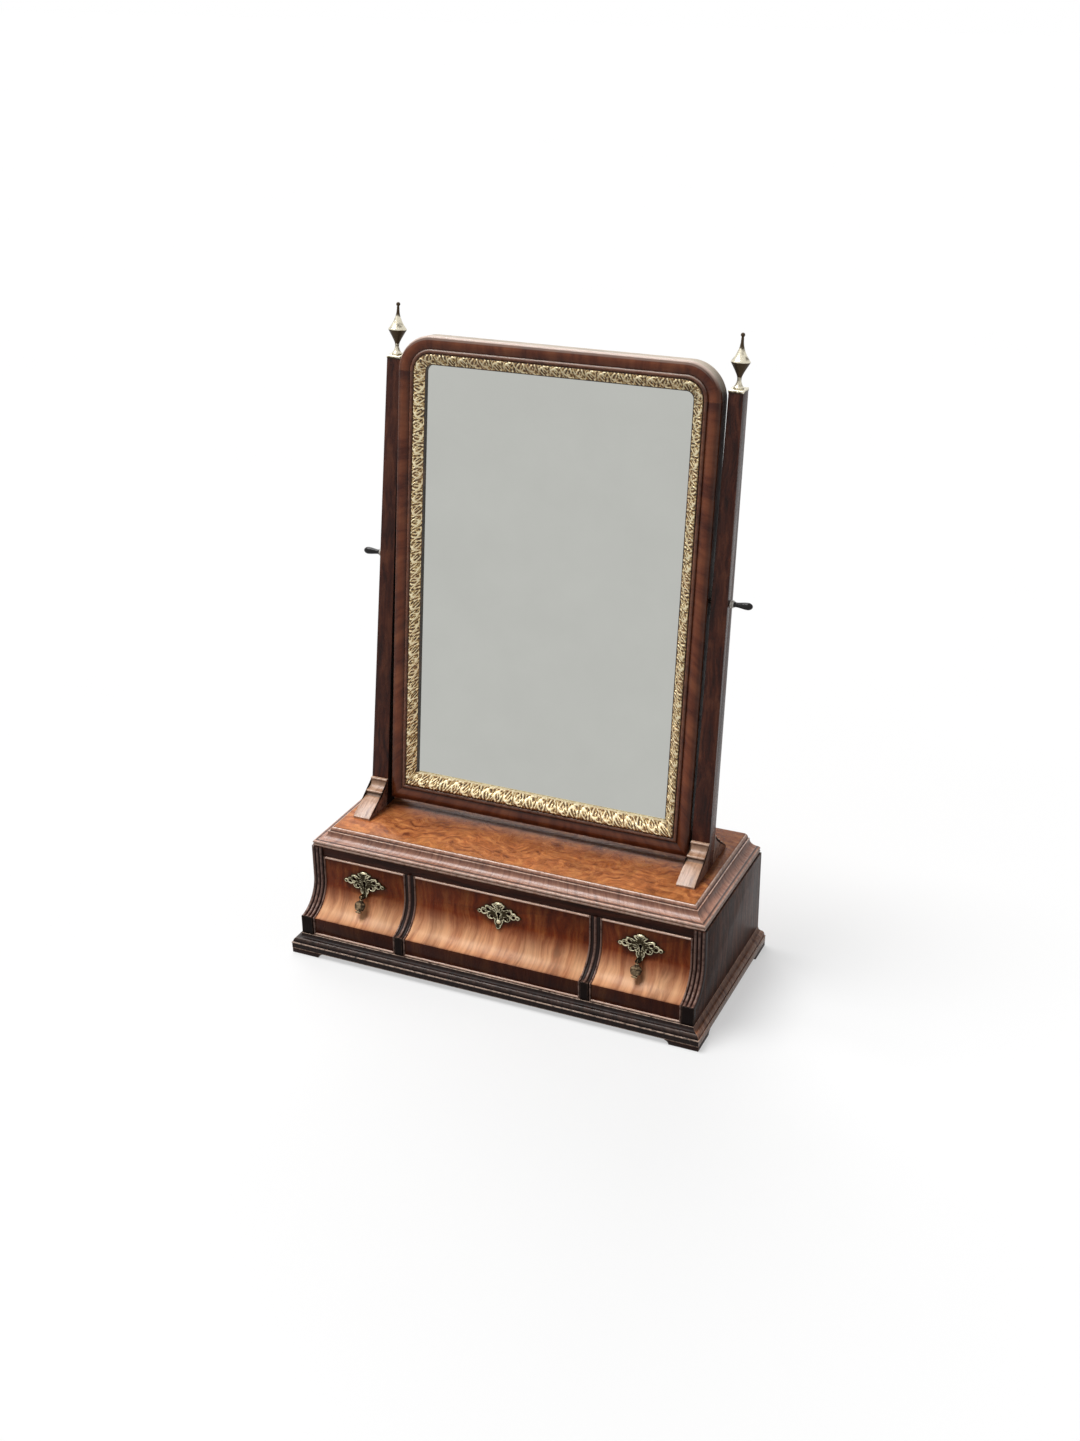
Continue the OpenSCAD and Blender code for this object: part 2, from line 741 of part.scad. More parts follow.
module frame_side(side) {
    color(walnut) on_mirror() difference() {
        intersection() {
            upright_run(side, frame_half, -frame_low, corner_z) frame_section();
            above_mitre(frame_half, frame_low, frame_w, frame_w, frame_up);
        }
        pin_bores();
        translate([side * frame_half, 0, 0]) {
            cube([2 * (nut_t + seat_fit), nut_w + 2 * seat_fit, nut_h + 2 * seat_fit], center = true);
            rotate([0, 90, 0]) cylinder(r = screw_r + bore_gap, h = 2 * (screw_in + 0.8), center = true);
        }
    }
}

module frame_left() { frame_side(-1); }
module frame_right() { frame_side(1); }

module frame_bottom() {
    color(walnut) on_mirror() difference() {
        intersection() {
            cross_run(frame_half, -frame_low, false) frame_section();
            below_mitre(frame_half, frame_low, frame_w, frame_w);
        }
        pin_bores();
    }
}

// Four lengths of slip, let in to the frame with a fine joint between them
module gilt_slip() {
    r = corner_r - frame_w;
    half = slip_half - seat_fit;
    up = slip_top - seat_fit;
    low = slip_bottom - seat_fit;
    color(gilt) on_mirror() {
        cross_run(half - r, up, true) slip_section(slip_w);
        for (side = [-1, 1]) corner_run(side, half, up, r) slip_section(slip_w);
        for (side = [-1, 1]) intersection() {
            upright_run(side, half, -low, up - r - seat_fit) slip_section(slip_w);
            translate([0, 0, 2 * seat_fit]) above_mitre(half, low, slip_w, slip_low_w, up);
        }
        intersection() {
            cross_run(half, -low, false) slip_section(slip_low_w);
            below_mitre(half, low, slip_w, slip_low_w);
        }
    }
}

// A plate with rounded upper corners, from y0 to y1 behind the mirror's face
module mirror_plate(half, up, low, r, y0, y1) {
    along_y(y0, y1 - y0) {
        translate([-half, -low]) square([2 * half, low + up - r]);
        translate([-half + r, up - r - 1]) square([2 * (half - r), r + 1]);
        for (side = [-1, 1]) translate([side * (half - r), up - r]) circle(r = r, $fn = 96);
    }
}

module mirror_glass() {
    color(mirror_grey) on_mirror()
        mirror_plate(slip_half - rebate_gap, slip_top - rebate_gap, slip_bottom - rebate_gap,
            corner_r - frame_w - rebate_gap, -slip_back, -glass_back);
}

module backboard() {
    in = rebate_w + rebate_gap;
    color(pine) on_mirror() difference() {
        mirror_plate(frame_half - in, frame_up - in, frame_low - in,
            corner_r - in, frame_back - backboard_t, frame_back);
        pin_bores();
    }
}

// Sets a piece at each place round the edge of the backboard where a pin goes through it
module at_pins() {
    inset = rebate_w + pin_inset;
    step = (frame_low + frame_up - 2 * corner_r) / (pins_long - 1);
    for (side = [-1, 1]) for (i = [0 : pins_long - 1])
        translate([side * (frame_half - inset), frame_back, -frame_low + corner_r + step * i]) children();
    for (z = [-frame_low + inset, frame_up - inset]) for (side = [-1, 1])
        translate([side * frame_half / 2, frame_back, z]) children();
}

// The bores for those pins, in the backboard and in the frame behind it
module pin_bores() {
    at_pins() rotate([90, 0, 0]) cylinder(r = nail_r, h = nail_len, $fn = 24);
}

// Headed pins through the backboard into the frame
module backboard_pins() {
    color(steel) on_mirror() at_pins() {
        rotate([90, 0, 0]) cylinder(r = nail_r, h = nail_len, $fn = 24);
        rotate([-90, 0, 0]) cylinder(r = nail_head_r, h = nail_head_t, $fn = 24);
    }
}

module pivot_nuts() {
    color(brass) on_mirror() for (side = [-1, 1]) difference() {
        translate([side * (frame_half - nut_t / 2), 0, 0]) cube([nut_t, nut_w, nut_h], center = true);
        rotate([0, 90, 0]) cylinder(r = screw_r + seat_fit, h = box_w, center = true);
    }
}

// ---------------------------------------------------------------- pivot screws

module on_pivot(side) {
    translate([0, pivot_y, pivot_z]) rotate([0, side * 90, 0]) children();
}

module pivot_screw(side) {
    start = frame_half - screw_in;
    color(steel) on_pivot(side) translate([0, 0, start])
        cylinder(r = screw_r, h = knob_x + screw_in_knob - start);
}

module screw_left() { pivot_screw(-1); }
module screw_right() { pivot_screw(1); }

// The turned outline of a pivot knob, as (radius, distance from the collar)
module knob_profile() {
    r = knob_r;
    l = knob_len;
    polygon(concat(
        [[0, 0], [r * 0.80, 0], [r * 0.80, l * 0.05]],
        [for (i = [0 : 4]) let (k = i / 4) [r * (0.72 + 0.06 * cos(360 * k)), l * (0.06 + 0.16 * k)]],
        [for (i = [1 : 12]) let (k = i / 12, swell = 0.74 + 0.26 * sin(180 * min(1, k * 1.05)))
            [r * swell * sqrt(1 - pow(k, 6)), l * (0.24 + 0.76 * k)]]));
}

module pivot_knob(side) {
    color(ebonised) on_pivot(side) translate([0, 0, knob_x]) difference() {
        rotate_extrude() knob_profile();
        translate([0, 0, -1]) cylinder(r = screw_r + seat_fit, h = screw_in_knob + 1 + seat_fit);
    }
}

module knob_left() { pivot_knob(-1); }
module knob_right() { pivot_knob(1); }

module pivot_collars() {
    color(bone) for (side = [-1, 1]) on_pivot(side) translate([0, 0, collar_x]) difference() {
        cylinder(r = collar_r, h = collar_t);
        translate([0, 0, -1]) cylinder(r = screw_r + screw_fit, h = collar_t + 2);
    }
}

// ---------------------------------------------------------------- drawers

// The keyhole, as (x, z) from the middle of its round part
module keyhole() {
    circle(r = 1.7, $fn = 32);
    translate([-0.8, -5]) square([1.6, 5]);
}

module lock_pocket(i) {
    x = lock_x(i);
    block([x - lock_w / 2 - seat_fit, lock_y - seat_fit, lock_top - lock_h - seat_fit],
          [x + lock_w / 2 + seat_fit, front_back_y + 1, lock_top + 1]);
}

module drawer_front(i, pull) {
    x = drawer(i)[0];
    half = drawer(i)[1] / 2 - drawer_gap;
    color(figured) difference() {
        along_x(x - half + bead_w, 2 * (half - bead_w))
            front_section(0, front_back_y, drawer_low + bead_w, drawer_high - bead_w);
        for (side = [-1, 1])
            block([x + side * half - lining_t, front_back_y - lining_lap, drawer_low - 1],
                  [x + side * half + lining_t, front_back_y + 1, drawer_low + lining_h + seat_fit]);
        lock_pocket(i);
        along_y(face_y - 5, front_t + 5) translate([lock_x(i), key_z]) keyhole();
        if (pull) translate([lock_x(i), front_back_y + 1, drop_pivot_z]) rotate([90, 0, 0])
            cylinder(r = pin_r + seat_fit, h = front_t + pivot_out + 1, $fn = 32);
    }
}

// Two sides lapped into the front, and a back between them
module drawer_linings(i) {
    x = drawer(i)[0];
    half = drawer(i)[1] / 2 - drawer_gap;
    color(pine) {
        for (side = [-1, 1]) translate([x + side * (half - lining_t / 2), 0, 0])
            block([-lining_t / 2, front_back_y - lining_lap + seat_fit, drawer_low],
                  [lining_t / 2, drawer_end_y, drawer_low + lining_h]);
        block([x - half + lining_t + seat_fit, drawer_end_y - lining_t, drawer_low],
              [x + half - lining_t - seat_fit, drawer_end_y, drawer_low + lining_h]);
    }
}

module drawer_bottom(i) {
    x = drawer(i)[0];
    half = drawer(i)[1] / 2 - drawer_gap - lining_t;
    color(pine) block([x - half, front_back_y, drawer_low + bottom_up],
                      [x + half, drawer_end_y - lining_t, drawer_low + bottom_up + drawer_bottom_t]);
}

// The four strips of bead let in round the edge of a drawer front
module drawer_bead(i) {
    x = drawer(i)[0];
    half = drawer(i)[1] / 2 - drawer_gap;
    depth = lining_lap - 2;
    color(walnut) {
        for (side = [-1, 1]) along_x(x + side * (half - bead_w / 2) - bead_w / 2, bead_w) difference() {
            front_section(bead_out, face_y + depth, drawer_low, drawer_high);
            front_section(-depth, back_y, plinth_top - 1, box_top + 1);
        }
        along_x(x - half + bead_w + seat_fit, 2 * (half - bead_w - seat_fit)) {
            bead_nose(face_y, depth, drawer_high - bead_w);
            bead_nose(lip_y, depth, drawer_low);
        }
    }
}

module bead_nose(y, depth, z) {
    translate([y - bead_out + bead_w / 2, z]) square([depth + bead_out - bead_w / 2, bead_w]);
    translate([y - bead_out + bead_w / 2, z + bead_w / 2]) circle(r = bead_w / 2, $fn = 32);
}

// Outline of a handle plate about its keyhole: two wings, a crest and a tail, with piercings
module plate_outline() {
    drawn_w = 50;
    k = plate_w / drawn_w;
    difference() {
        union() {
            circle(r = 8.5);
            translate([0, 8.5]) circle(r = 4.6);
            translate([0, 13.4]) circle(r = 2.2, $fn = 32);
            translate([0, -8.5]) circle(r = 5);
            translate([0, -pivot_below]) circle(r = 3.2, $fn = 32);
            for (side = [-1, 1]) {
                translate([side * 9.5 * k, 2.2]) circle(r = 5.4);
                translate([side * 9 * k, -3.4]) circle(r = 4.2);
                translate([side * 15.6 * k, 0.2]) circle(r = 4.2);
                translate([side * 20.6 * k, -0.6]) circle(r = 2.5, $fn = 32);
            }
            polygon([[-25 * k, -0.8], [-18 * k, -3], [18 * k, -3],
                     [25 * k, -0.8], [18 * k, 2.4], [-18 * k, 2.4]]);
        }
        for (side = [-1, 1]) {
            translate([side * 11 * k, 2.8]) circle(r = 1.9, $fn = 32);
            translate([side * 16 * k, -0.4]) circle(r = 1.5, $fn = 32);
            translate([side * 7.4 * k, -4.4]) circle(r = 1.6, $fn = 32);
            translate([side * 5 * k, 6.6]) circle(r = 1.2, $fn = 32);
        }
        translate([0, 10.6]) circle(r = 1.2, $fn = 32);
        keyhole();
    }
}

// A plate bent to the drawer front
module drawer_plate(i, pull) {
    color(brass) difference() {
        intersection() {
            along_y(face_y - 20, 30) translate([lock_x(i), key_z]) plate_outline();
            along_x(lock_x(i) - plate_w, 2 * plate_w) difference() {
                front_section(plate_t, face_y + 9, plinth_top + 1, box_top);
                front_section(0, back_y, plinth_top - 1, box_top + 1);
            }
        }
        if (pull) translate([lock_x(i), face_y + 5, drop_pivot_z]) rotate([90, 0, 0])
            cylinder(r = pin_r + seat_fit, h = 20, $fn = 32);
    }
}

module drawer_lock(i) {
    x = lock_x(i);
    color(brass) difference() {
        block([x - lock_w / 2, lock_y, lock_top - lock_h], [x + lock_w / 2, front_back_y, lock_top]);
        lock_bolt_space(i);
        along_y(lock_y - 1, 2) translate([x, key_z]) keyhole();
    }
}

module lock_bolt_space(i) {
    translate([lock_x(i), lock_y + lock_t / 2, lock_top - bolt_len / 2 + bolt_fit])
        cube([bolt_w + 2 * bolt_fit, bolt_t + 2 * bolt_fit, bolt_len + 4 * bolt_fit], center = true);
}

module lock_bolt(i) {
    color(steel) translate([lock_x(i), lock_y + lock_t / 2, lock_top - bolt_len / 2])
        cube([bolt_w, bolt_t, bolt_len], center = true);
}

// The pin that carries a drop: a shank through the front, a rose and a fork with a cross pin
module pull_pin(i) {
    rose_r = 2.4;
    rose_t = 1.2;
    rivet_r = 3;
    rivet_t = 1.5;
    fork_r = 1.5;
    fork_h = 2.4;
    seat_y = front_at(drop_pivot_z - rose_r, plate_t) - seat_fit;
    fork_y = seat_y - rose_t;
    fork_len = fork_y + seat_fit - drop_pivot_y;
    color(brass) translate([lock_x(i), 0, drop_pivot_z]) {
        translate([0, front_back_y + rivet_t, 0]) rotate([90, 0, 0]) {
            cylinder(r = pin_r, h = front_back_y + rivet_t - fork_y, $fn = 32);
            cylinder(r = rivet_r, h = rivet_t - seat_fit, $fn = 32);
        }
        translate([0, seat_y, 0]) rotate([90, 0, 0]) cylinder(r = rose_r, h = rose_t, $fn = 32);
        for (side = [-1, 1]) translate([side * (fork_gap + fork_t) / 2, 0, 0]) {
            translate([0, drop_pivot_y + fork_len / 2, 0]) cube([fork_t, fork_len, fork_h], center = true);
            translate([0, drop_pivot_y, 0]) rotate([0, 90, 0])
                cylinder(r = fork_r, h = fork_t, center = true, $fn = 32);
        }
        translate([0, drop_pivot_y, 0]) rotate([0, 90, 0])
            cylinder(r = cross_pin_r, h = fork_gap + fork_t, center = true, $fn = 32);
    }
}

// The turned outline of a drop, as (radius, distance from its pivot)
module drop_profile() {
    l = drop_len;
    r = drop_r;
    polygon(concat(
        [[0, 1.9], [1.1, 1.9], [1.1, l * 0.2]],
        [for (i = [0 : 9]) let (k = i / 9) [1.1 + (r - 1.1) * pow(sin(90 * k), 2), l * (0.2 + 0.36 * k)]],
        [for (i = [1 : 6]) let (k = i / 6) [r * cos(62 * k), l * (0.56 + 0.24 * sin(90 * k))]],
        [[r * 0.3, l * 0.84], [r * 0.42, l * 0.90], [r * 0.34, l * 0.97], [r * 0.1, l], [0, l]]));
}

// A flattened pear drop that hangs on the cross pin and rests on the curved front
module pull_drop(i) {
    color(brass) translate([lock_x(i), drop_pivot_y, drop_pivot_z]) rotate([180 - drop_lean, 0, 0]) {
        difference() {
            rotate([0, 90, 0]) cylinder(r = eye_r, h = eye_t, center = true, $fn = 32);
            rotate([0, 90, 0]) cylinder(r = cross_pin_r + drop_fit, h = eye_t + 1, center = true, $fn = 32);
        }
        intersection() {
            rotate_extrude($fn = 48) drop_profile();
            cube([4 * drop_r, drop_t, 4 * drop_len], center = true);
        }
    }
}

module left_drawer_front() { drawer_front(0, true); }
module left_drawer_linings() { drawer_linings(0); }
module left_drawer_bottom() { drawer_bottom(0); }
module left_drawer_bead() { drawer_bead(0); }
module left_drawer_plate() { drawer_plate(0, true); }
module left_drawer_lock() { drawer_lock(0); }
module left_lock_bolt() { lock_bolt(0); }
module left_pull_pin() { pull_pin(0); }
module left_drop() { pull_drop(0); }
module middle_drawer_front() { drawer_front(1, false); }
module middle_drawer_linings() { drawer_linings(1); }
module middle_drawer_bottom() { drawer_bottom(1); }
module middle_drawer_bead() { drawer_bead(1); }
module middle_drawer_plate() { drawer_plate(1, false); }
module middle_drawer_lock() { drawer_lock(1); }
module middle_lock_bolt() { lock_bolt(1); }
module right_drawer_front() { drawer_front(2, true); }
module right_drawer_linings() { drawer_linings(2); }
module right_drawer_bottom() { drawer_bottom(2); }
module right_drawer_bead() { drawer_bead(2); }
module right_drawer_plate() { drawer_plate(2, true); }
module right_drawer_lock() { drawer_lock(2); }
module right_lock_bolt() { lock_bolt(2); }
module right_pull_pin() { pull_pin(2); }
module right_drop() { pull_drop(2); }

bottom_board();
back_board();
side_left();
side_right();
partition_left();
partition_right();
front_strips();
top_rail();
top_board();
top_moulding_front();
top_moulding_left();
top_moulding_right();
plinth_front();
plinth_left();
plinth_right();
feet();
post_left();
post_right();
brackets();
finials();
pivot_collars();
frame_top();
frame_left();
frame_right();
frame_bottom();
gilt_slip();
mirror_glass();
backboard();
backboard_pins();
pivot_nuts();
screw_left();
screw_right();
knob_left();
knob_right();
left_drawer_front();
left_drawer_linings();
left_drawer_bottom();
left_drawer_bead();
left_drawer_plate();
left_drawer_lock();
left_lock_bolt();
left_pull_pin();
left_drop();
middle_drawer_front();
middle_drawer_linings();
middle_drawer_bottom();
middle_drawer_bead();
middle_drawer_plate();
middle_drawer_lock();
middle_lock_bolt();
right_drawer_front();
right_drawer_linings();
right_drawer_bottom();
right_drawer_bead();
right_drawer_plate();
right_drawer_lock();
right_lock_bolt();
right_pull_pin();
right_drop();
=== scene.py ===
# %% [markdown]
# # A toilet mirror on a box of three small drawers
#
# The real object is a dressing-table mirror of about 1740: a low walnut box with a hollow front,
# two square posts, and a gilt-edged glass that swings between them on two screws.
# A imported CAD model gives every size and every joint. This lesson dresses that model: it gives each
# piece its fine shape (rounded arrises, reeds, carving, turned brass) and its finish.
# Sizes are written in millimetres, as on a maker's drawing, and become metres in one place only.

from math import cos, pi, radians, sin

import bmesh
import bpy
import numpy as np
from mathutils import Matrix, Vector


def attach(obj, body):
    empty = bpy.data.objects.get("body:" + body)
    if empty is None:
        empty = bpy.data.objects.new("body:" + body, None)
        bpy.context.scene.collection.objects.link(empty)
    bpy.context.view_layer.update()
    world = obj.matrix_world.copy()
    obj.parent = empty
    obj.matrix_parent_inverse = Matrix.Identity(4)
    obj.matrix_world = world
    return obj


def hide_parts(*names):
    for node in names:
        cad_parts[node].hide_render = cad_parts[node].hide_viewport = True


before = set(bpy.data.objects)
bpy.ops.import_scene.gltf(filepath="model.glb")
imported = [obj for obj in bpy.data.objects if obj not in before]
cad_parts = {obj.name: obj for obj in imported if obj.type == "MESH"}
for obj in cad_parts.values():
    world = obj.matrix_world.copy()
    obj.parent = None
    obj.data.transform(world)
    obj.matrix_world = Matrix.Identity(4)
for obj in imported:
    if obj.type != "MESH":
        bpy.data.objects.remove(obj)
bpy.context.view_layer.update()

# %% [markdown]
# ## Camera
#
# The photograph was taken with a mild long lens from the right and from above. A camera's matrix has
# its right, up and back directions as columns. They are worked out from two angles, and a small roll
# then turns right and up about the view. This is easier to check than three Euler angles.

# %% The photograph's camera
AZIMUTH, ELEVATION, ROLL = 24.4366, 25.0330, 0.6069  # degrees
TARGET, DISTANCE = Vector((0.014522, 0.0015, 0.259809)), 1.730054  # metres
LENS = 44.96  # mm


def camera_axes(azimuth, elevation, roll):
    """Right, up and back of a camera that looks at the middle: back points to the camera, right is
    level, up is back x right, and both are then turned about back by the roll."""
    a, e, r = radians(azimuth), radians(elevation), radians(roll)
    back = Vector((sin(a) * cos(e), -cos(a) * cos(e), sin(e)))
    right = Vector((cos(a), sin(a), 0))
    up = back.cross(right)
    return right * cos(r) - up * sin(r), right * sin(r) + up * cos(r), back


def linked(name, data):
    """A new object in the scene."""
    thing = bpy.data.objects.new(name, data)
    bpy.context.scene.collection.objects.link(thing)
    return thing


right, up, back = camera_axes(AZIMUTH, ELEVATION, ROLL)
eye = TARGET + back * DISTANCE
camera = linked("camera", bpy.data.cameras.new("camera"))
camera.data.lens = LENS
camera.matrix_world = Matrix((right, up, back)).transposed().to_4x4()
camera.location = eye
bpy.context.scene.camera = camera
print("camera at", tuple(round(c, 3) for c in eye))

# %% [markdown]
# ## Colour, light and floor
#
# Colours are read off the photograph as 0 to 255 values on the screen's scale, while Blender computes
# with linear light, so one helper converts. Three very soft suns stand for large lamps, because a sun
# lights the floor evenly to its edge. The main one hangs overhead, a little to the left, and makes the
# pale band in the drawers' hollow while their upright parts stay dark. A weak one fills from the left
# in front, and one high at the back, also on the left, edges the tops. The world adds a little to
# matt surfaces, and looks white to the camera and to polished ones, as the walls of a white studio do.
# The floor is a grey that takes the shadow, with an even glow that makes it white where it is seen. It
# is darker to rays that only carry light, so it throws little back up on to the box.

# %% Colour helpers
def ink(r, g, b):
    """A screen colour of 0..255 as linear light: ((c + 0.055) / 1.055) ** 2.4, or c / 12.92 if dark."""
    c = np.array([r, g, b]) / 255
    c = np.where(c > 0.04045, ((c + 0.055) / 1.055) ** 2.4, c / 12.92)
    return (float(c[0]), float(c[1]), float(c[2]), 1.0)


def even(level):
    """The same linear amount of red, green and blue."""
    return (level, level, level, 1)


def on_scale(colour):
    """A colour of three numbers through ink, and anything else as it is."""
    return ink(*colour) if isinstance(colour, tuple) and len(colour) == 3 else colour


print("photograph white", ink(255, 255, 255)[0], "mid grey", round(ink(128, 128, 128)[0], 3))


# %% Short words for shader nodes
TURN = {"x": (0, 0, 0), "y": (0, 0, -pi / 2), "z": (0, pi / 2, 0),  # each brings the grain to x
        "along": (0, 0, 0), "across": (0, 0, pi / 2)}


class Recipe:
    """A material, with one short word for each kind of node that these finishes use."""

    def __init__(self, name, tree=None):
        self.material = None if tree else bpy.data.materials.new(name)
        if self.material:
            self.material.use_nodes = True
        self.tree = tree or self.material.node_tree
        self.tree.nodes.clear()

    def add(self, kind, sockets=(), out=0, **settings):
        """Adds a node, sets its options, and links or sets its sockets. Returns one output."""
        node = self.tree.nodes.new("ShaderNode" + kind)
        for key, value in settings.items():
            setattr(node, key, value)
        for key, value in dict(sockets).items():
            if isinstance(value, bpy.types.NodeSocket):
                self.tree.links.new(value, node.inputs[key])
            else:
                node.inputs[key].default_value = value
        return node.outputs[out]

    def math(self, operation, a, b=0.0, c=0.0, clamp=False):
        return self.add("Math", {0: a, 1: b, 2: c}, operation=operation, use_clamp=clamp)

    def plus(self, a, b, clamp=False):
        return self.math("ADD", a, b, clamp=clamp)

    def minus(self, a, b):
        return self.math("SUBTRACT", a, b)

    def times(self, a, b, more=None, clamp=False):
        """a b, or a b + more."""
        if more is None:
            return self.math("MULTIPLY", a, b, clamp=clamp)
        return self.math("MULTIPLY_ADD", a, b, more, clamp)

    def vector(self, operation, a, b=(0, 0, 0), c=(0, 0, 0)):
        return self.add("VectorMath", {0: a, 1: b, 2: c}, operation=operation)

    def span(self, value, low, high, to_low=0.0, to_high=1.0):
        """Maps low..high to to_low..to_high, and holds the ends."""
        return self.add("MapRange", {"Value": value, "From Min": low, "From Max": high,
                                     "To Min": to_low, "To Max": to_high})

    def place(self, grain="x", squash=1.0):
        """A point's own place in millimetres, turned so that the grain runs on x. A grain "along" or
        "across" follows the piece's UV map. squash scales y."""
        follows = grain in ("along", "across")
        source = self.add("UVMap", uv_map="grain") if follows else self.add("TexCoord", out=3)
        return self.add("Mapping", {"Vector": source, "Rotation": TURN[grain],
                                    "Scale": (1000, 1000 * squash, 1000)})

    def xyz(self):
        """The piece's own x, y and z in millimetres, as three outputs."""
        place = self.vector("MULTIPLY", self.add("TexCoord", out=3), (1000, 1000, 1000))
        x = self.add("SeparateXYZ", {0: place})
        return x, x.node.outputs[1], x.node.outputs[2]

    def upward(self):
        """How far the surface looks up: 1 straight up, 0 level, -1 straight down."""
        return self.add("SeparateXYZ", {0: self.add("NewGeometry", out=1)}, 2)

    def seen(self):
        """1 for rays from the camera, from a reflection or through glass, and 0 for the others."""
        rays = self.add("LightPath")
        either = self.plus(rays, rays.node.outputs["Is Glossy Ray"], clamp=True)
        return self.plus(either, rays.node.outputs["Is Transmission Ray"], clamp=True)

    def noise(self, place, scale, detail=2.0, roughness=0.5, out=0):
        return self.add("TexNoise", {"Vector": place, "Scale": scale, "Detail": detail,
                                     "Roughness": roughness, "Distortion": 0.0}, out)

    def stretched(self, place, along, across, detail=2.0, roughness=0.5):
        """Noise at (x / along, y / across, z / across): spots that are long with the grain."""
        size = (1 / along, 1 / across, 1 / across)
        return self.noise(self.vector("MULTIPLY", place, size), 1.0, detail, roughness)

    def bent(self, place, size, detail, warp):
        """The place, pushed about by a slow noise: up to warp along the grain and twice that across."""
        drift = self.vector("SUBTRACT", self.noise(place, 1 / size, detail, out=1), (0.5, 0.5, 0.5))
        return self.vector("MULTIPLY_ADD", drift, (warp * 2, warp * 4, warp * 4), place)

    def mix(self, amount, a, b, blend="MIX"):
        """a, and b where amount is 1. A colour may be three numbers of the screen's scale."""
        a, b = on_scale(a), on_scale(b)
        return self.add("Mix", {0: amount, 6: a, 7: b}, 2, data_type="RGBA", blend_type=blend)

    def toned(self, colour, amount):
        """A colour made darker or paler by a number."""
        grey = self.add("CombineColor", {0: amount, 1: amount, 2: amount})
        return self.mix(1.0, colour, grey, "MULTIPLY")

    def ramp(self, value, *stops):
        """A colour ramp through (place, colour) stops."""
        out = self.add("ValToRGB", {0: value})
        band = out.node.color_ramp
        while len(band.elements) < len(stops):
            band.elements.new(0.5)
        for element, (place, colour) in zip(band.elements, stops):
            element.position, element.color = place, on_scale(colour)
        return out

    def graded(self, value, *stops):
        """A number that changes along a value: (place, number) stops, with straight lines between."""
        low, high = stops[0][0], stops[-1][0]
        halves = [((p - low) / (high - low), even(n / 2)) for p, n in stops]
        return self.times(self.ramp(self.span(value, low, high), *halves), 2.0)

    def attribute(self, name):
        return self.add("Attribute", attribute_name=name, out=2)

    def finish(self, colour, roughness, height, depth=0.0002, **constants):
        """Joins colour, roughness and bump to the surface shader. Constants go on its own sockets."""
        bump = self.add("Bump", {"Strength": 1.0, "Distance": depth, "Height": height})
        sockets = {"Base Color": colour, "Roughness": roughness, "Normal": bump}
        sockets.update({key.replace("_", " "): value for key, value in constants.items()})
        self.output(self.add("BsdfPrincipled", sockets))
        return self.material

    def output(self, shader, kind="Material"):
        node = self.tree.nodes.new("ShaderNodeOutput" + kind)
        self.tree.links.new(shader, node.inputs["Surface"])


# %% Three suns and the world
WORLD_ON_MATT, WORLD_SEEN = 0.18, 1.0


def sun(name, towards, strength, spread):
    """A sun whose light comes from the direction `towards`, as soft as a disc `spread` degrees wide."""
    lamp = linked(name, bpy.data.lights.new(name, "SUN"))
    lamp.data.energy, lamp.data.angle = strength, radians(spread)
    lamp.rotation_euler = Vector(towards).to_track_quat("Z", "Y").to_euler()


sun("overhead", (-0.38, -0.06, 0.92), 2.6, 32)
sun("front_fill", (-0.60, -0.60, 0.50), 0.26, 70)
sun("behind", (-0.37, 0.62, 0.69), 1.0, 34)
world = bpy.data.worlds.new("studio")
bpy.context.scene.world = world
world.use_nodes = True
sky = Recipe("studio", world.node_tree)
strength = sky.span(sky.seen(), 0, 1, WORLD_ON_MATT, WORLD_SEEN)
sky.output(sky.add("Background", {"Color": even(1), "Strength": strength}), "World")
bpy.context.scene.view_settings.view_transform = "Standard"
print("three suns and a pale world")

# %% A pale floor that keeps the object's shadow
EDGE = 12.0  # metres from the middle
PAPER_LOW, PAPER_HIGH, PAPER_BOUNCE, PAPER_GLOW = 0.41, 0.43, 0.20, 0.50
corners = [(-EDGE, -EDGE, 0), (EDGE, -EDGE, 0), (EDGE, EDGE, 0), (-EDGE, EDGE, 0)]
floor_mesh = bpy.data.meshes.new("floor")
floor_mesh.from_pydata(corners, [], [(0, 1, 2, 3)])
floor = linked("floor", floor_mesh)
paper = Recipe("floor_paper")
fibres = paper.noise(paper.add("TexCoord", out=3), 3.0, 3.0)
pale = paper.mix(fibres, even(PAPER_LOW), even(PAPER_HIGH))
seen = paper.seen()
matt = paper.add("BsdfDiffuse", {"Color": paper.mix(seen, even(PAPER_BOUNCE), pale)})
glow = paper.add("Emission", {"Color": even(1), "Strength": paper.times(seen, PAPER_GLOW)})
paper.output(paper.add("AddShader", {0: matt, 1: glow}))
floor_mesh.materials.append(paper.material)
print("floor", 2 * EDGE, "m wide")

# %% [markdown]
# ## Walnut
#
# Most of the piece is walnut, solid or veneered, under old wax. What makes wood look like wood is
# that every pattern is long along the grain and narrow across it. So one recipe turns the grain to
# its own X axis, measures in millimetres, and stretches each noise by its own amount: broad growth
# bands, fine fibres, short dark pores, and the curl that shimmers across them. The mouldings of this
# date are cross-grained: their fibres run across the moulding, so the recipe takes the direction.
# Edges and corners come from an attribute named arris, which each shape works out from its own section.
# It is above zero on edges, which hands rub pale and which also carry a painted highlight. It is below
# zero in corners, where wax and dust gather and painted shade darkens them.

# %% The walnut recipe
WAX, GRIME_AND_SHADE = (34, 17, 10), (20, 9, 6)
DRIFT, BLOTCH, PATCH, RIPPLE = 45, 38, 5, 9  # mm, the sizes of the slow patterns
FIBRE, PORE, SCRATCH = (22, 0.55), (4.5, 0.35), (1 / 0.012, 1 / 0.9)  # mm along and across the grain


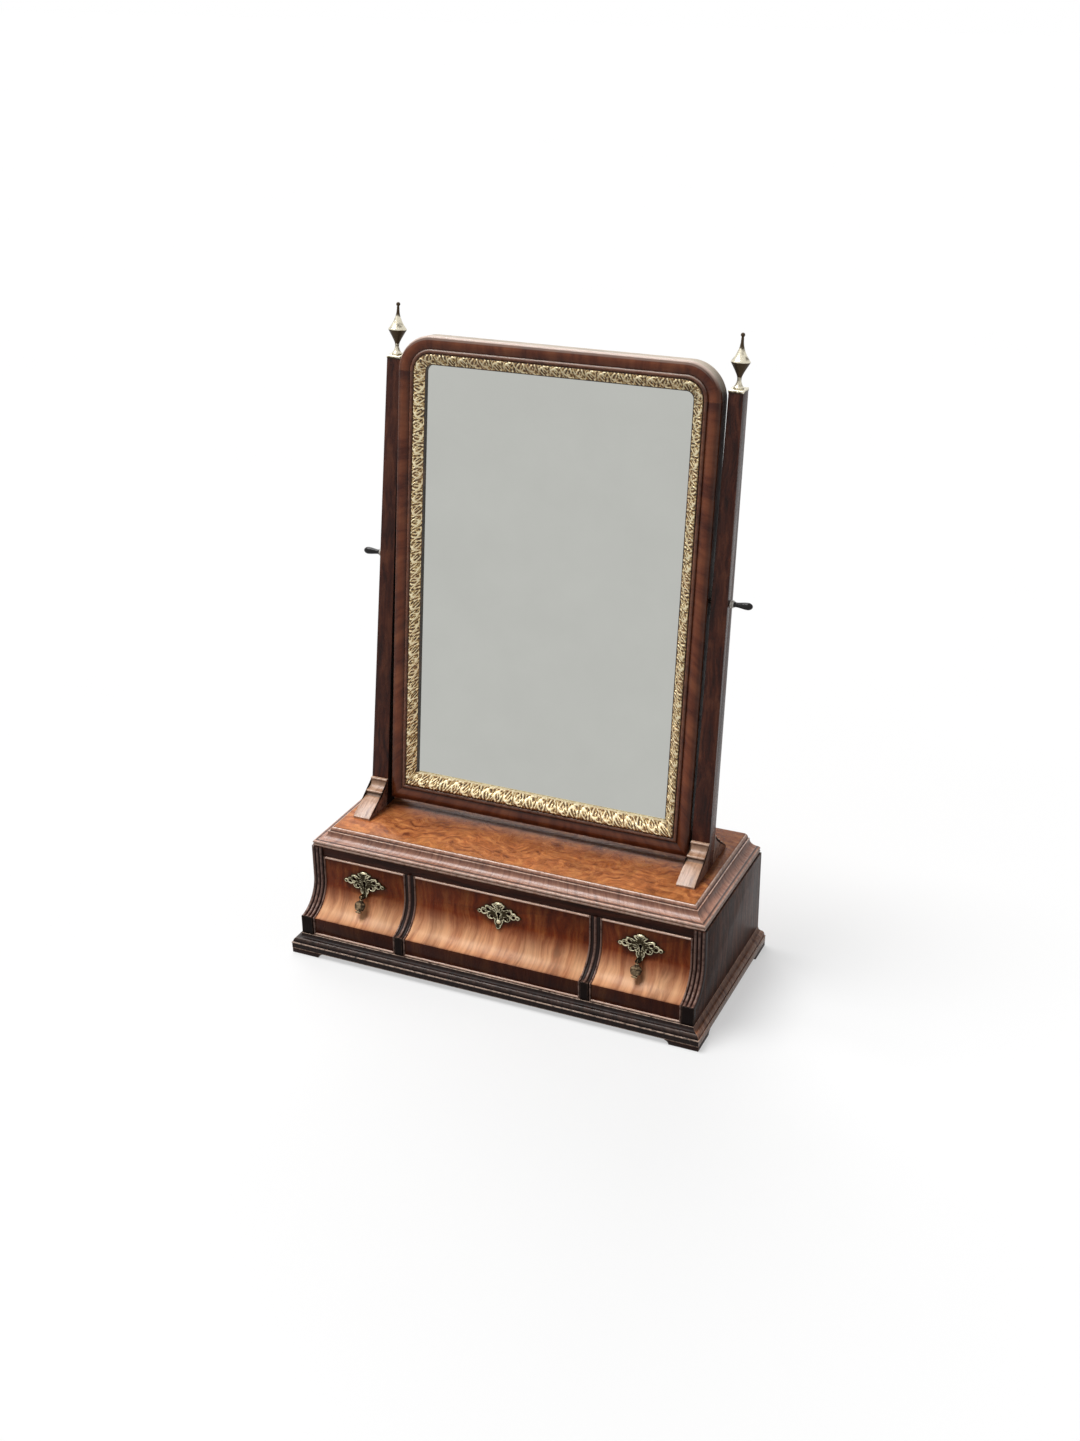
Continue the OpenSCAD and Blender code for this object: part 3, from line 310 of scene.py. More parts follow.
def walnut(name, dark, middle, light, grain="x", band=(150, 7), warp=6.0, curl=0.25, curl_size=(7, 50),
           streak=0.0, wear=(178, 128, 104), rub=0.62, fibres=0.22, pores=0.55, gloss=0.34, shine=0.3,
           depth=0.00012, squash=1.0, tone_by_place=None):
    """Walnut whose grain runs along an object axis, or along or across the piece's own UV map.
    band and curl_size are (length along, width across) in millimetres. squash below 1 keeps a veneer's
    pattern nearly the same at every depth. tone_by_place may change the colour by where it is on the
    piece; the hooks below use it for painted light and shade."""
    r = Recipe(name)
    place = r.place(grain, squash)
    bent = r.bent(place, DRIFT, 3.0, warp)
    growth = r.stretched(bent, *band, 4.0, 0.6)
    flame = r.stretched(bent, band[0] * 0.6, band[1] * 2.6, 3.0, 0.55)
    fibre = r.stretched(bent, *FIBRE, 3.0, 0.6)
    pore = r.span(r.stretched(bent, *PORE, 1.0, 0.55), 0.60, 0.70)
    curls = r.stretched(bent, *curl_size)
    blotch = r.noise(place, 1 / BLOTCH, 4.0, 0.6)
    value = r.plus(r.times(growth, 1 - 0.5 * streak), r.times(flame, 0.5 * streak))
    value = r.times(fibre, fibres, r.minus(value, fibres / 2))
    colour = r.ramp(r.span(value, 0.30, 0.72), (0.0, dark), (0.42, middle), (1.0, light))
    sheen = r.span(curls, 0.3, 0.7, 1 - curl, 1 + curl)
    colour = r.toned(colour, r.times(sheen, r.span(blotch, 0.25, 0.75, 0.80, 1.18)))
    colour = r.mix(r.times(pore, pores), colour, WAX)
    colour = tone_by_place(r, colour, growth) if tone_by_place else colour
    arris = r.attribute("arris")
    patchy = r.noise(place, 1 / PATCH, 4.0, 0.65)
    # Pale edges: real rubbing, and a painted highlight.
    rubbed_and_highlit = r.times(r.span(arris, 0.2, 0.8), r.span(patchy, 0.30, 0.55), clamp=True)
    colour = r.mix(r.times(rubbed_and_highlit, rub), colour, wear)
    # Dark corners: wax and dust, and painted shade.
    grime_and_shade = r.span(r.times(patchy, -0.2, arris), -0.55, -0.15, 1.0, 0.0)
    colour = r.mix(r.times(grime_and_shade, 0.88), colour, GRIME_AND_SHADE)
    rough = r.times(fibre, 0.10, r.span(blotch, 0.3, 0.7, gloss - 0.08, gloss + 0.04))
    rough = r.plus(rough, r.times(grime_and_shade, 0.35))
    scratch = r.span(r.stretched(place, *SCRATCH, 1.0), 0.66, 0.72)
    height = r.times(pore, -0.9 * pores, r.times(fibre, 1.6 * fibres))
    height = r.minus(height, r.times(scratch, 0.25))
    height = r.times(r.noise(place, 1 / RIPPLE, 2.0), 0.9, height)
    return r.finish(colour, rough, height, depth, Specular_IOR_Level=shine)


print("the grain can run on or by:", ", ".join(TURN))


# %% Painted light and shade on the walnut
def top_painted_shade(r, colour, _):
    """Painted shade darkens the top's veneer under the mirror, and the veneer turns paler and more
    orange towards the front.
    """
    y = r.xyz()[1]
    colour = r.mix(r.span(y, -25, 20, 0.0, 0.42), colour, (84, 40, 26))
    return r.mix(r.span(y, -36, -62, 0.0, 0.40), colour, (226, 148, 80))


def frame_painted_sheen_and_shade(r, colour, _):
    """Painted sheen and shade on the frame: a painted highlight on the crest of the cushion and painted
    shade in its valley, painted shade on the bottom run, and a pale painted highlight where the top run
    looks up."""
    crest = r.graded(r.attribute("across"), (0, 0.70), (3, 0.85), (5, 1.25), (9.5, 1.30), (12, 0.80),
                     (15, 0.90), (16.7, 0.55))
    colour = r.toned(colour, crest)
    z = r.xyz()[2]
    colour = r.toned(colour, r.span(z, 150, 210, 0.55, 1.0))
    amount = r.times(r.span(z, 566, 590), r.span(r.upward(), 0.28, 0.70))
    return r.mix(r.times(amount, 0.85), colour, (234, 212, 198))


def edge_painted_highlight_and_shade(r, colour, growth):
    """The frame's outer edge gets a pale painted highlight along its top, where it faces the overhead
    light, and painted shade everywhere else, down in the gaps by the posts.
    """
    streaks = r.span(growth, 0.3, 0.7, 0.5, 0.95)
    amount = r.times(r.span(r.xyz()[2], 568, 592), streaks)
    return r.mix(amount, r.toned(colour, 0.30), (210, 196, 178))


# %% The walnuts
CROSS = dict(grain="across", band=(40, 4), warp=2, curl=0.05, curl_size=(12, 5), fibres=0.10, pores=0.25)
WORN_PLINTH = dict(CROSS, wear=(222, 192, 172), gloss=0.22)
STRIP = dict(grain="along", band=(60, 2), warp=1, fibres=0.12, pores=0.25)
panel = walnut("top_panel_figured_walnut", (112, 58, 34), (174, 102, 58), (214, 142, 84), band=(26, 6),
               warp=16, curl=0.16, curl_size=(9, 16), gloss=0.26, shine=0.12, tone_by_place=top_painted_shade)
upright = walnut("side_walnut", (26, 12, 9), (58, 32, 23), (124, 80, 62), "z", (240, 5), 4, 0.06,
                 streak=0.4, shine=0.05)
cross = walnut("cross_grained_walnut", (122, 76, 58), (166, 112, 88), (192, 140, 114), **CROSS,
               wear=(236, 208, 188), rub=0.8, gloss=0.2, shine=0.5)
# Two copies of the plinth's walnut: a near-black one with painted shade for the front and left runs, and
# a paler one with painted light for the right run.
plinth_painted_shade = walnut("plinth_painted_shade", (18, 9, 7), (34, 18, 14), (54, 32, 26), **WORN_PLINTH,
                       rub=0.9, shine=0.14)
plinth_lit_copy = walnut("plinth_painted_light_copy", (112, 66, 44), (158, 104, 74), (192, 142, 112),
                      **WORN_PLINTH, rub=0.8, shine=0.25)
# The cock beads are painted pale: a painted highlight along their round noses, with some real rubbing.
beads_painted_highlight = walnut("cock_bead_painted_highlight", (188, 140, 118), (226, 182, 158), (246, 214, 194), "along",
                     (60, 2), 1, 0.05, wear=(226, 192, 172), rub=0.7, fibres=0.1, pores=0.2,
                     gloss=0.2, shine=0.45)
frame_walnut = walnut("frame_walnut", (84, 36, 21), (122, 64, 39), (148, 86, 54), "across", (60, 18), 2,
                      0.03, (12, 40), wear=(206, 160, 136), rub=0.5, fibres=0.07, pores=0.15,
                      gloss=0.13, shine=0.2, depth=0.00004, tone_by_place=frame_painted_sheen_and_shade)
# Pale walnut for the brackets, whose fronts face the overhead light: painted light.
bracket_painted_light = walnut("bracket_painted_light", (140, 98, 74), (180, 138, 110), (208, 170, 140), "across",
                        (30, 2.5), 1, 0.05, wear=(228, 202, 180), fibres=0.12, pores=0.3,
                        gloss=0.22, shine=0.45)
dark = walnut("post_walnut", (36, 15, 10), (78, 38, 27), (116, 68, 48), "z", (220, 5), 3, 0.06,
              fibres=0.14, pores=0.35, gloss=0.24, shine=0.16, wear=(196, 156, 136))
# Near-black walnut for the faces of the posts towards the mirror: painted shade in the gap between post
# and frame.
post_gap_painted_shade = walnut("post_gap_walnut_painted_shade", (14, 8, 6), (26, 14, 10), (40, 22, 16), "z", (120, 5), 3, 0.06,
                  rub=0.1, gloss=0.75, shine=0.05)
dark_rail = walnut("rail_walnut", (30, 13, 9), (58, 28, 19), (88, 46, 32), "x", (170, 5), 3, 0.08,
                   fibres=0.14, gloss=0.28, shine=0.08)
foot_walnut = walnut("foot_walnut", (20, 11, 9), (38, 22, 18), (58, 36, 29), "x", (60, 4), 3, 0.08,
                     gloss=0.4, shine=0.12)
reed_walnut = walnut("reed_walnut", (30, 12, 9), (58, 28, 21), (88, 50, 40), **dict(STRIP, band=(90, 2)),
                     curl=0.06, gloss=0.18, shine=0.18, wear=(186, 150, 134))
block_walnut = walnut("lip_block_walnut", (14, 8, 7), (26, 15, 12), (44, 28, 23), **STRIP,
                      curl=0.06, gloss=0.26, shine=0.06, wear=(120, 96, 84), rub=0.4)
edge_walnut = walnut("frame_edge_walnut", (64, 30, 20), (90, 48, 34), (120, 72, 52), "along", (60, 3), 2,
                     0.05, fibres=0.1, pores=0.2, rub=0.2, gloss=0.5, shine=0.15, tone_by_place=edge_painted_highlight_and_shade)
print("walnut finishes:", len(bpy.data.materials))

# %% [markdown]
# ## The bare woods inside
#
# Drawer linings are thin quartered oak, and the backs and bottoms are pine. Neither was ever
# polished: they are dry and matt, grey-brown with age, with dark growth lines, a few stains, and
# saw and plane marks across the grain. Only one recipe is needed, with its colours changed.

# %% The bare wood recipe
def bare_wood(name, pale, brown, grain, ring):
    """Unpolished wood: growth lines `ring` mm apart, fibres, stains and faint plane marks."""
    r = Recipe(name)
    place = r.place(grain)
    bent = r.bent(place, 70, 2.0, 2.5)
    rings = r.stretched(bent, 700, ring)
    fibre = r.stretched(bent, 16, 0.5)
    stain = r.noise(place, 1 / 33, 5.0, 0.65)
    plane = r.stretched(place, 3.2, 40, 1.0)
    colour = r.ramp(r.span(rings, 0.36, 0.64), (0.0, pale), (0.45, pale), (0.62, brown), (0.70, pale),
                    (1.0, brown))
    colour = r.mix(r.times(r.span(fibre, 0.45, 0.75), 0.5), colour, brown)
    colour = r.mix(r.span(stain, 0.52, 0.78, 0.0, 0.6), colour, (74, 54, 38))
    height = r.times(fibre, 0.8, r.times(plane, 0.5))
    rough = r.span(stain, 0.3, 0.7, 0.86, 0.68)
    return r.finish(colour, rough, height, Specular_IOR_Level=0.25)


pine_x = bare_wood("aged_pine_across", (178, 134, 90), (146, 102, 64), "x", 11)
pine_z = bare_wood("aged_pine_upright", (170, 126, 84), (138, 96, 60), "z", 10)
oak_y = bare_wood("drawer_oak", (164, 132, 94), (116, 86, 56), "y", 3)
print("bare woods:", pine_x.name, pine_z.name, oak_y.name)

# %% [markdown]
# ## Metals, bone, black polish and glass
#
# Cast brass that is cleaned now and then is bright on what stands out and brown-green where the cloth
# can't reach, so its colour follows the arris attribute and the metal's own unevenness. What faces down
# is darker as well, partly tarnish and partly painted shade.
# The same recipe makes the paler turned brass of the finials. The glass is old silvering, slightly
# grey, with faint clouding. Its reflection comes from the shader alone.

# %% The metal recipe
def old_metal(name, bright, tarnish, gloss=0.3, cover=0.5, speck=1.6, under=0.0):
    """Worn metal: `cover` is how much of the flat surface the tarnish takes, `speck` its grain in mm,
    and `under` how much darker what faces down is, partly tarnish and partly painted shade."""
    r = Recipe(name)
    place = r.place()
    broad = r.noise(place, 1 / 7, 4.0, 0.6)
    fine = r.noise(place, 1 / speck, 4.0, 0.65)
    pits = r.span(r.noise(place, 1 / 0.7, 2.0), 0.62, 0.74)
    amount = r.times(broad, 0.9, r.times(fine, 0.5))
    amount = r.times(r.attribute("arris"), -0.45, amount)
    # Painted shade, with some tarnish, on what faces down.
    amount = r.times(r.span(r.upward(), 0.1, -0.5), under, amount)
    veil = r.span(amount, 0.95 - 0.6 * cover, 1.15 - 0.6 * cover)
    colour = r.mix(veil, bright, tarnish)
    colour = r.mix(r.times(pits, 0.6), colour, (30, 26, 18))
    rough = r.times(veil, 0.26, r.span(fine, 0.3, 0.7, gloss - 0.06, gloss + 0.08))
    height = r.minus(r.times(broad, 0.6, r.times(fine, 0.4)), pits)
    return r.finish(colour, rough, height, 0.00012, Metallic=0.92)


brass = old_metal("cast_brass", (200, 192, 162), (50, 43, 28), 0.28, 0.66, under=0.35)
drop_brass = old_metal("drop_brass", (134, 114, 88), (46, 36, 26), 0.26, 0.78, 2.4, under=0.3)
dull_brass = old_metal("dull_brass", (96, 84, 56), (40, 33, 22), 0.45, 0.8)
pale_brass = old_metal("turned_brass", (222, 214, 192), (66, 54, 40), 0.22, 0.40, 3.0, under=0.9)
iron = old_metal("dull_iron", (128, 124, 118), (64, 50, 42), 0.42, 0.6, 1.2)
print("metals:", brass.name, drop_brass.name, dull_brass.name, pale_brass.name, iron.name)


# %% Bone, black polish and old glass
def smooth_stuff(name, base, other, size, gloss, depth=0.00005, **constants):
    """A fine-grained smooth material with a slow change of colour and small handling marks."""
    r = Recipe(name)
    place = r.place()
    cloud = r.noise(place, 1 / size, 4.0, 0.6)
    mark = r.stretched(place, 1 / 1.8, 1 / 0.35, 3.0)
    colour = r.mix(r.span(cloud, 0.3, 0.7), base, other)
    dirt = r.span(r.attribute("arris"), -0.7, -0.15, 0.7, 0.0)
    colour = r.mix(dirt, colour, (60, 48, 36))
    rough = r.plus(r.span(cloud, 0.3, 0.7, gloss - 0.03, gloss + 0.05), r.times(mark, 0.05))
    return r.finish(colour, rough, r.times(mark, 0.5, cloud), depth, **constants)


bone = smooth_stuff("turned_bone", (248, 245, 238), (232, 226, 212), 2.5, 0.16, Specular_IOR_Level=0.8)
ebony = smooth_stuff("black_polish", (10, 9, 8), (22, 18, 16), 6.0, 0.18, Specular_IOR_Level=0.25)
glass = smooth_stuff("old_silvered_glass", (187, 188, 183), (184, 185, 180), 60.0, 0.05, 0.0000005,
                     Metallic=1.0)
print("others:", bone.name, ebony.name, glass.name)

# %% [markdown]
# ## How the shapes are made
#
# Nearly every piece here is a moulding: one section carried along a line. So the main tool turns a
# grid of points, whose rows are closed sections, into a skin, and caps its two ends. The same grid
# gives the UV map: along the run one way, round the section the other, both in metres, so that a
# grain pattern keeps its size round a corner. A turned piece is the same grid with circles for rows.

# %% Sections with rounded corners
X, Y, Z = np.eye(3)


def bend(t, a, b, c):
    """The curve (1-t)^2 A + 2t(1-t) B + t^2 C, which leaves A towards B and comes from B to C."""
    return (1 - t) ** 2 * a + 2 * t * (1 - t) * b + t ** 2 * c


def sharpness(turning, corners, places, reach):
    """The arris at each place: over all corners, the corner's turning in right angles (above 0 where
    it sticks out) times exp(-(distance / reach)^2)."""
    apart = np.linalg.norm(places[:, None] - corners[None], axis=2)
    return (turning / (pi / 2) * np.exp(-(apart / reach) ** 2)).sum(1)


def ring(outline, ease=0.35, step=1.2, turn=28, reach=1.1):
    """A closed outline, run anticlockwise, ready to be carried along a path, and its arris. Corners
    that turn more than `turn` degrees are cut back by `ease` and bent, and long edges are divided."""
    p = np.asarray(outline, float)
    area = np.sum(p[:, 0] * np.roll(p[:, 1], -1) - p[:, 1] * np.roll(p[:, 0], -1))
    p = p if area > 0 else p[::-1]
    before, after = np.roll(p, 1, 0) - p, np.roll(p, -1, 0) - p
    far, near = np.hypot(*before.T), np.hypot(*after.T)
    turning = np.arctan2(-before[:, 0] * after[:, 1] + before[:, 1] * after[:, 0],
                         -(before * after).sum(1))
    cut = np.where(abs(turning) > radians(turn), np.minimum(ease, 0.45 * np.minimum(far, near)), 0)
    t = np.linspace(0, 1, 5)[None, :, None]
    a = (p + before / far[:, None] * cut[:, None])[:, None]
    c = (p + after / near[:, None] * cut[:, None])[:, None]
    q = bend(t, a, p[:, None], c).reshape(-1, 2)
    q = q[np.hypot(*(np.roll(q, -1, 0) - q).T) > 1e-5]
    edge = np.roll(q, -1, 0) - q
    parts = np.maximum(1, np.ceil(np.hypot(*edge.T) / step)).astype(int)
    first = np.repeat(np.cumsum(parts) - parts, parts)
    share = (np.arange(parts.sum()) - first) / np.repeat(parts, parts)
    q = np.repeat(q, parts, 0) + np.repeat(edge, parts, 0) * share[:, None]
    return q, sharpness(turning, p, q, reach)


def outward(q):
    """The direction out of a closed outline at each of its points: its tangent turned to the right."""
    tangent = np.roll(q, -1, 0) - np.roll(q, 1, 0)
    tangent /= np.linalg.norm(tangent, axis=1, keepdims=True)
    return points(tangent[:, 1], -tangent[:, 0])


square = ring([(0, 0), (10, 0), (10, 10), (0, 10)])
print("a square's section has", len(square[0]), "points; arris from", round(square[1].min(), 2),
      "to", round(square[1].max(), 2))


# %% Skins over grids of points
def skin(grid, arris=0.0, wrap=False, flat=None, second=None, finish=0, caps=None):
    """Corner lists, UVs and attribute of a closed skin over grid[row, point] in millimetres.
    Rows are closed rings. wrap joins the last row to the first, otherwise each end gets a cap.
    flat is the section's own (x, y), used as UV on the caps. A skin with negative volume is turned.
    finish and caps are numbers in the piece's list of materials; strips between two points that are
    both marked in second take number 1."""
    rows, points = grid.shape[:2]
    index = np.arange(rows * points).reshape(rows, points)
    low = index if wrap else index[:-1]
    high = np.roll(index, -1, 0) if wrap else index[1:]
    faces = np.stack([low, np.roll(low, -1, 1), np.roll(high, -1, 1), high], -1).reshape(-1, 4)
    step = np.linalg.norm(np.roll(grid, -1, 0) - grid, axis=2).mean(1)
    u = np.concatenate([[0], np.cumsum(step)])[: rows + 1]
    round_it = np.linalg.norm(np.roll(grid, -1, 1) - grid, axis=2).mean(0)
    v = np.concatenate([[0], np.cumsum(round_it)])
    r, c = np.meshgrid(np.arange(len(low)), np.arange(points), indexing="ij")
    corners = (r, c), (r, c + 1), (r + 1, c + 1), (r + 1, c)
    uv = np.stack([np.stack([u[i], v[j]], -1) for i, j in corners], 2).reshape(-1, 4, 2)
    loops, sizes, uvs = [faces.ravel()], [np.full(len(faces), 4)], [uv.reshape(-1, 2)]
    if not wrap:
        end = np.stack([v[:-1], v[:-1] * 0], 1) if flat is None else flat
        loops += [index[0][::-1], index[-1]]
        sizes += [[points], [points]]
        uvs += [end[::-1], end]
    loops, sizes, uvs = np.concatenate(loops), np.concatenate(sizes), np.concatenate(uvs)
    co = grid.reshape(-1, 3)
    a, b, c, d = (co[faces[:, k]] for k in range(4))
    volume = (np.cross(b - a, c - a) * a).sum() + (np.cross(c - a, d - a) * a).sum()
    if not wrap:
        for row in (index[0][::-1], index[-1]):
            m = co[row].mean(0)
            volume += (np.cross(co[row] - m, np.roll(co[row], -1, 0) - m) * m).sum()
    if volume < 0:
        starts = np.repeat(np.cumsum(sizes) - sizes, sizes)
        back_to_front = starts + np.repeat(sizes, sizes) - 1 - (np.arange(len(loops)) - starts)
        loops, uvs = loops[back_to_front], uvs[back_to_front]
    number = np.full((len(low), points), finish)
    if second is not None:
        number[:, second & np.roll(second, -1)] = 1
    ends = [] if wrap else [finish if caps is None else caps] * 2
    number = np.concatenate([number.ravel(), ends]).astype(np.int32)
    arris = np.broadcast_to(np.asarray(arris, float), (rows, points)).ravel()
    return co, loops, sizes, uvs, arris, number


def mark(mesh, name, values):
    """One number for each corner of a mesh, for a recipe to read by its name."""
    mesh.attributes.new(name, "FLOAT", "POINT").data.foreach_set("value", values.astype(np.float32))


def coated(mesh, materials, sharp=None):
    """Finishes and smooth shading for a mesh, with edges over `sharp` degrees kept crisp."""
    mesh.materials.clear()
    for material in materials if isinstance(materials, tuple) else (materials,):
        mesh.materials.append(material)
    mesh.shade_smooth()
    if sharp:
        mesh.set_sharp_from_angle(angle=radians(sharp))


def piece(name, skins, materials, body, node, slot, sharp=40, **extra):
    """One object from one or more skins, in metres, that rides on a body and stands for a CAD node."""
    co, loops, sizes, uv, arris, numbers = zip(*skins)
    first = np.cumsum([0] + [len(c) for c in co])
    loops = np.concatenate([corners + k for corners, k in zip(loops, first)]).astype(np.int32)
    co, sizes, uv, arris, numbers = map(np.concatenate, (co, sizes, uv, arris, numbers))
    mesh = bpy.data.meshes.new(name)
    mesh.vertices.add(len(co))
    mesh.vertices.foreach_set("co", (co * 0.001).astype(np.float32).ravel())
    mesh.loops.add(len(loops))
    mesh.loops.foreach_set("vertex_index", loops)
    mesh.polygons.add(len(sizes))
    mesh.polygons.foreach_set("loop_start", (np.cumsum(sizes) - sizes).astype(np.int32))
    mesh.uv_layers.new(name="grain").uv.foreach_set("vector", (uv * 0.001).astype(np.float32).ravel())
    for key, values in {"arris": arris, **extra}.items():
        mark(mesh, key, values)
    mesh.update(calc_edges=True)
    mesh.validate()
    coated(mesh, materials, sharp)
    mesh.polygons.foreach_set("material_index", numbers)
    return placed(name, mesh, body, node)


def placed(name, mesh, body, node):
    """An object that rides on a body and stands for a CAD node."""
    thing = linked(name, mesh)
    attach(thing, body)
    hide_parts(node)
    return thing


def carried(section, start, end, across, out, slide=(0, 0), steps=2):
    """A straight run: start + (end - start) t + x across + y out. slide moves each end along the run
    by that many times x, which cuts the mitres."""
    start, end = np.asarray(start, float), np.asarray(end, float)
    way = (end - start) / np.linalg.norm(end - start)
    x, y = section[:, 0:1], section[:, 1:2]
    t = np.linspace(0, 1, steps)[:, None, None]
    first = start + x * across + y * out + x * slide[0] * way
    last = end + x * across + y * out + x * slide[1] * way
    return first + (last - first) * t


def slab(section, start, end, across, out, ease=0.4, turn_steps=4):
    """A run whose two end faces have rounded edges: near an end the section shrinks along its own
    normals by ease (1 - sin a) while the run goes on by ease (1 - cos a). Returns the grid, and for
    each row how much of an arris it is."""
    a = np.linspace(0, pi / 2, turn_steps)
    go, shrink = ease * (1 - np.cos(a)), ease * (1 - np.sin(a))
    start, end = np.asarray(start, float), np.asarray(end, float)
    length = np.linalg.norm(end - start)
    go, shrink = np.concatenate([go, length - go[::-1]]), np.concatenate([shrink, shrink[::-1]])
    q = section[None] - outward(section)[None] * shrink[:, None, None]
    base = start + (end - start) / length * go[:, None]
    rounded = np.where(shrink > 0, 0.8, 0.0)[:, None]
    return base[:, None] + q[..., 0:1] * across + q[..., 1:2] * out, rounded


def turned(profile, around=64):
    """A lathe shape: each (radius, height) becomes the circle (r cos a, r sin a, h)."""
    a = np.linspace(0, 2 * pi, around, endpoint=False)
    r, h = np.asarray(profile, float).T[..., None]
    return np.stack([r * np.cos(a), r * np.sin(a), np.repeat(h, around, 1)], -1)


def no_repeats(profile):
    """An outline without the points that lie on the one before."""
    return profile[np.r_[True, np.hypot(*np.diff(profile, axis=0).T) > 1e-3]]


def profile_arris(profile, reach=0.9):
    """The same measure of edges as for rings, for an open turned outline from bottom to top."""
    p = np.asarray(profile, float)
    d = np.diff(p, axis=0)
    angle = np.unwrap(np.arctan2(d[:, 1], d[:, 0]))
    turning = np.concatenate([[0], np.diff(angle), [0]])
    return sharpness(turning, p, p, reach)[:, None]


def points(x, y):
    """Pairs of (x, y)."""
    return np.stack([x, y], 1)


def quarter(x0, y0, x1, y1, first="up", n=10):
    """A quarter of an ellipse that leaves (x0, y0) upright or level, and arrives the other way."""
    t = np.linspace(0, pi / 2, n)
    if first == "up":
        return points(x1 - (x1 - x0) * np.cos(t), y0 + (y1 - y0) * np.sin(t))
    return points(x0 + (x1 - x0) * np.sin(t), y0 + (y1 - y0) * (1 - np.cos(t)))


def arc(cx, cy, r, a0, a1, n=10):
    """Points of an arc about (cx, cy), from a0 to a1 degrees."""
    a = np.radians(np.linspace(a0, a1, n))
    return points(cx + r * np.cos(a), cy + r * np.sin(a))


def dome(x, y, r):
    """The height 0..1 of a round dome of radius r: sqrt(1 - (x^2 + y^2) / r^2)."""
    return np.sqrt(np.clip(1 - (x ** 2 + y ** 2) / r ** 2, 0, 1))


print("shape helpers ready")

# %% [markdown]
# ## The sizes of the real piece
#
# These are the drawing's own sizes. The imported model holds the same shapes.

# %% Sizes in millimetres
box_w, box_top, plinth_top, lip_top, opening_top = 423.0, 107.0, 20.5, 39.5, 97.5
back_y, face_y, lip_y, front_y, top_front_y = 101.5, -63.5, -91.0, -101.5, -64.0
cove_r, cove_top = 33.0, 72.04  # the hollow of the front, whose centre is as high as its top
cove_y = face_y - cove_r
top_z, foot_h, plinth_w, top_w = 124.8, 5.0, 440.0, 420.0
strip_w, partition_w, partition_x = 12.5, 8.5, 100.25
post_in, post_w, post_head_w, post_head_z = 166.0, 18.5, 14.0, 575.5
foot_y, head_y, lean = 21.9, 89.26, 8.5
pivot_y, pivot_z, tilt = 60.438, 384.0, 7.2
half, frame_up, frame_low, corner_r, frame_w = 163.0, 219.0, 253.87, 35.0, 16.7
frame_front, frame_back, rebate = 12.9, 5.5, 10.0
slip_half, slip_up, slip_low, slip_r = 146.25, 202.25, 237.12, 18.3
slip_w, slip_bottom_w = 11.0, 14.5
collar_x, knob_x, cap_h = 182.05, 186.05, 3.0
drawers = {"left": (-151.75, 94.5), "middle": (0.0, 192.0), "right": (151.75, 94.5)}
keys = {"left": -151.75, "middle": -2.0, "right": 146.75}
key_z, drop_z, drop_y = 76.5, 63.5, -71.5


# %% [markdown]
# ## Plinth and top mouldings
#
# Each was planed in cross-grained walnut and mitred at the two front corners. The section
# is drawn once, its corners are rounded as a scraper and two centuries of dusters leave them, and it
# is carried along the front and back along each side.

# %% Mouldings
bead = 3.0
top_section = np.concatenate([
    [(3.0, 0), (bead / 2, 0)], arc(bead / 2, bead * 0.5, bead / 2, 270, 90),
    arc(bead / 2, bead * 1.5, bead / 2, 258, 90), quarter(3.0, 6.3, 11.6, 12.37, "level", 14),
    [(11.6, 13.77)], quarter(13.4, 13.77, 15.9, 17.2, "up", 10), [(15.9, 6.0), (3.0, 6.0)]])
plinth_section = np.concatenate([
    [(16.0, 0), (0.4, 0), (0.4, 5.27)], arc(1.0, 6.27, 1.0, 240, 60, 9),
    quarter(1.4, 7.67, 4.85, 11.59, "up", 10), quarter(4.95, 11.59, 8.4, 15.5, "level", 10),
    [(16.0, 15.5)]])


def mouldings(name, outline, width, y, z, slot, material, lit_copy):
    """Front and side runs of a moulding. The section's x goes in from the outer face, its y goes up.
    lit_copy is the finish of the right run; for the plinth it is the paler copy with painted light."""
    section, arris = ring(outline, ease=0.22, step=0.9, turn=30, reach=0.8)
    w = width / 2
    runs = {"front": ((-w, y, z), (w, y, z), Y, (1, -1)),
            "left": ((-w, y, z), (-w, back_y, z), X, (1, 0)),
            "right": ((w, y, z), (w, back_y, z), -X, (1, 0))}
    for side, (start, end, across, slide) in runs.items():
        grid = carried(section, start, end, across, Z, slide, steps=9)
        piece(f"{name}_{side}_run", [skin(grid, arris, flat=section[:, ::-1])],
              lit_copy if side == "right" else material, "stand", f"{name}_{side}", slot)
    print(name, "section:", len(section), "points round")


mouldings("top_moulding", top_section, top_w, top_front_y, box_top, "walnut", cross, cross)
mouldings("plinth", plinth_section, plinth_w, front_y, foot_h, "walnut", plinth_painted_shade, plinth_lit_copy)

# %% [markdown]
# ## The hollow front
#
# Seen from the side the front is a lip, a hollow struck with a 33 mm radius, and a short upright.
# The reeded strips, the beads round the drawers and the lip blocks all follow this one line at
# different distances from it, so the line is a function of that distance: concentric arcs keep
# every strip the same thickness, and the meeting of lip and arc becomes the mitre by itself.

# %% The line of the front
def front_line(out, s, low, high):
    """(y, z) of the front moved forward by `out`. s runs 0..1 up the lip, 1..2 round the hollow and
    2..3 up the upright. The hollow's centre is (cove_y, cove_top) and its radius cove_r - out."""
    out, s = np.broadcast_arrays(np.asarray(out, float), np.asarray(s, float))
    r = cove_r - out
    start = np.arccos(np.clip((lip_y - out - cove_y) / r, -1, 1))
    a = start * (1 - np.clip(s - 1, 0, 1))
    y, z = cove_y + r * np.cos(a), cove_top - r * np.sin(a)
    z = np.where(s < 1, low + (z - low) * s, z)
    z = np.where(s > 2, cove_top + (high - cove_top) * (s - 2), z)
    return y, z


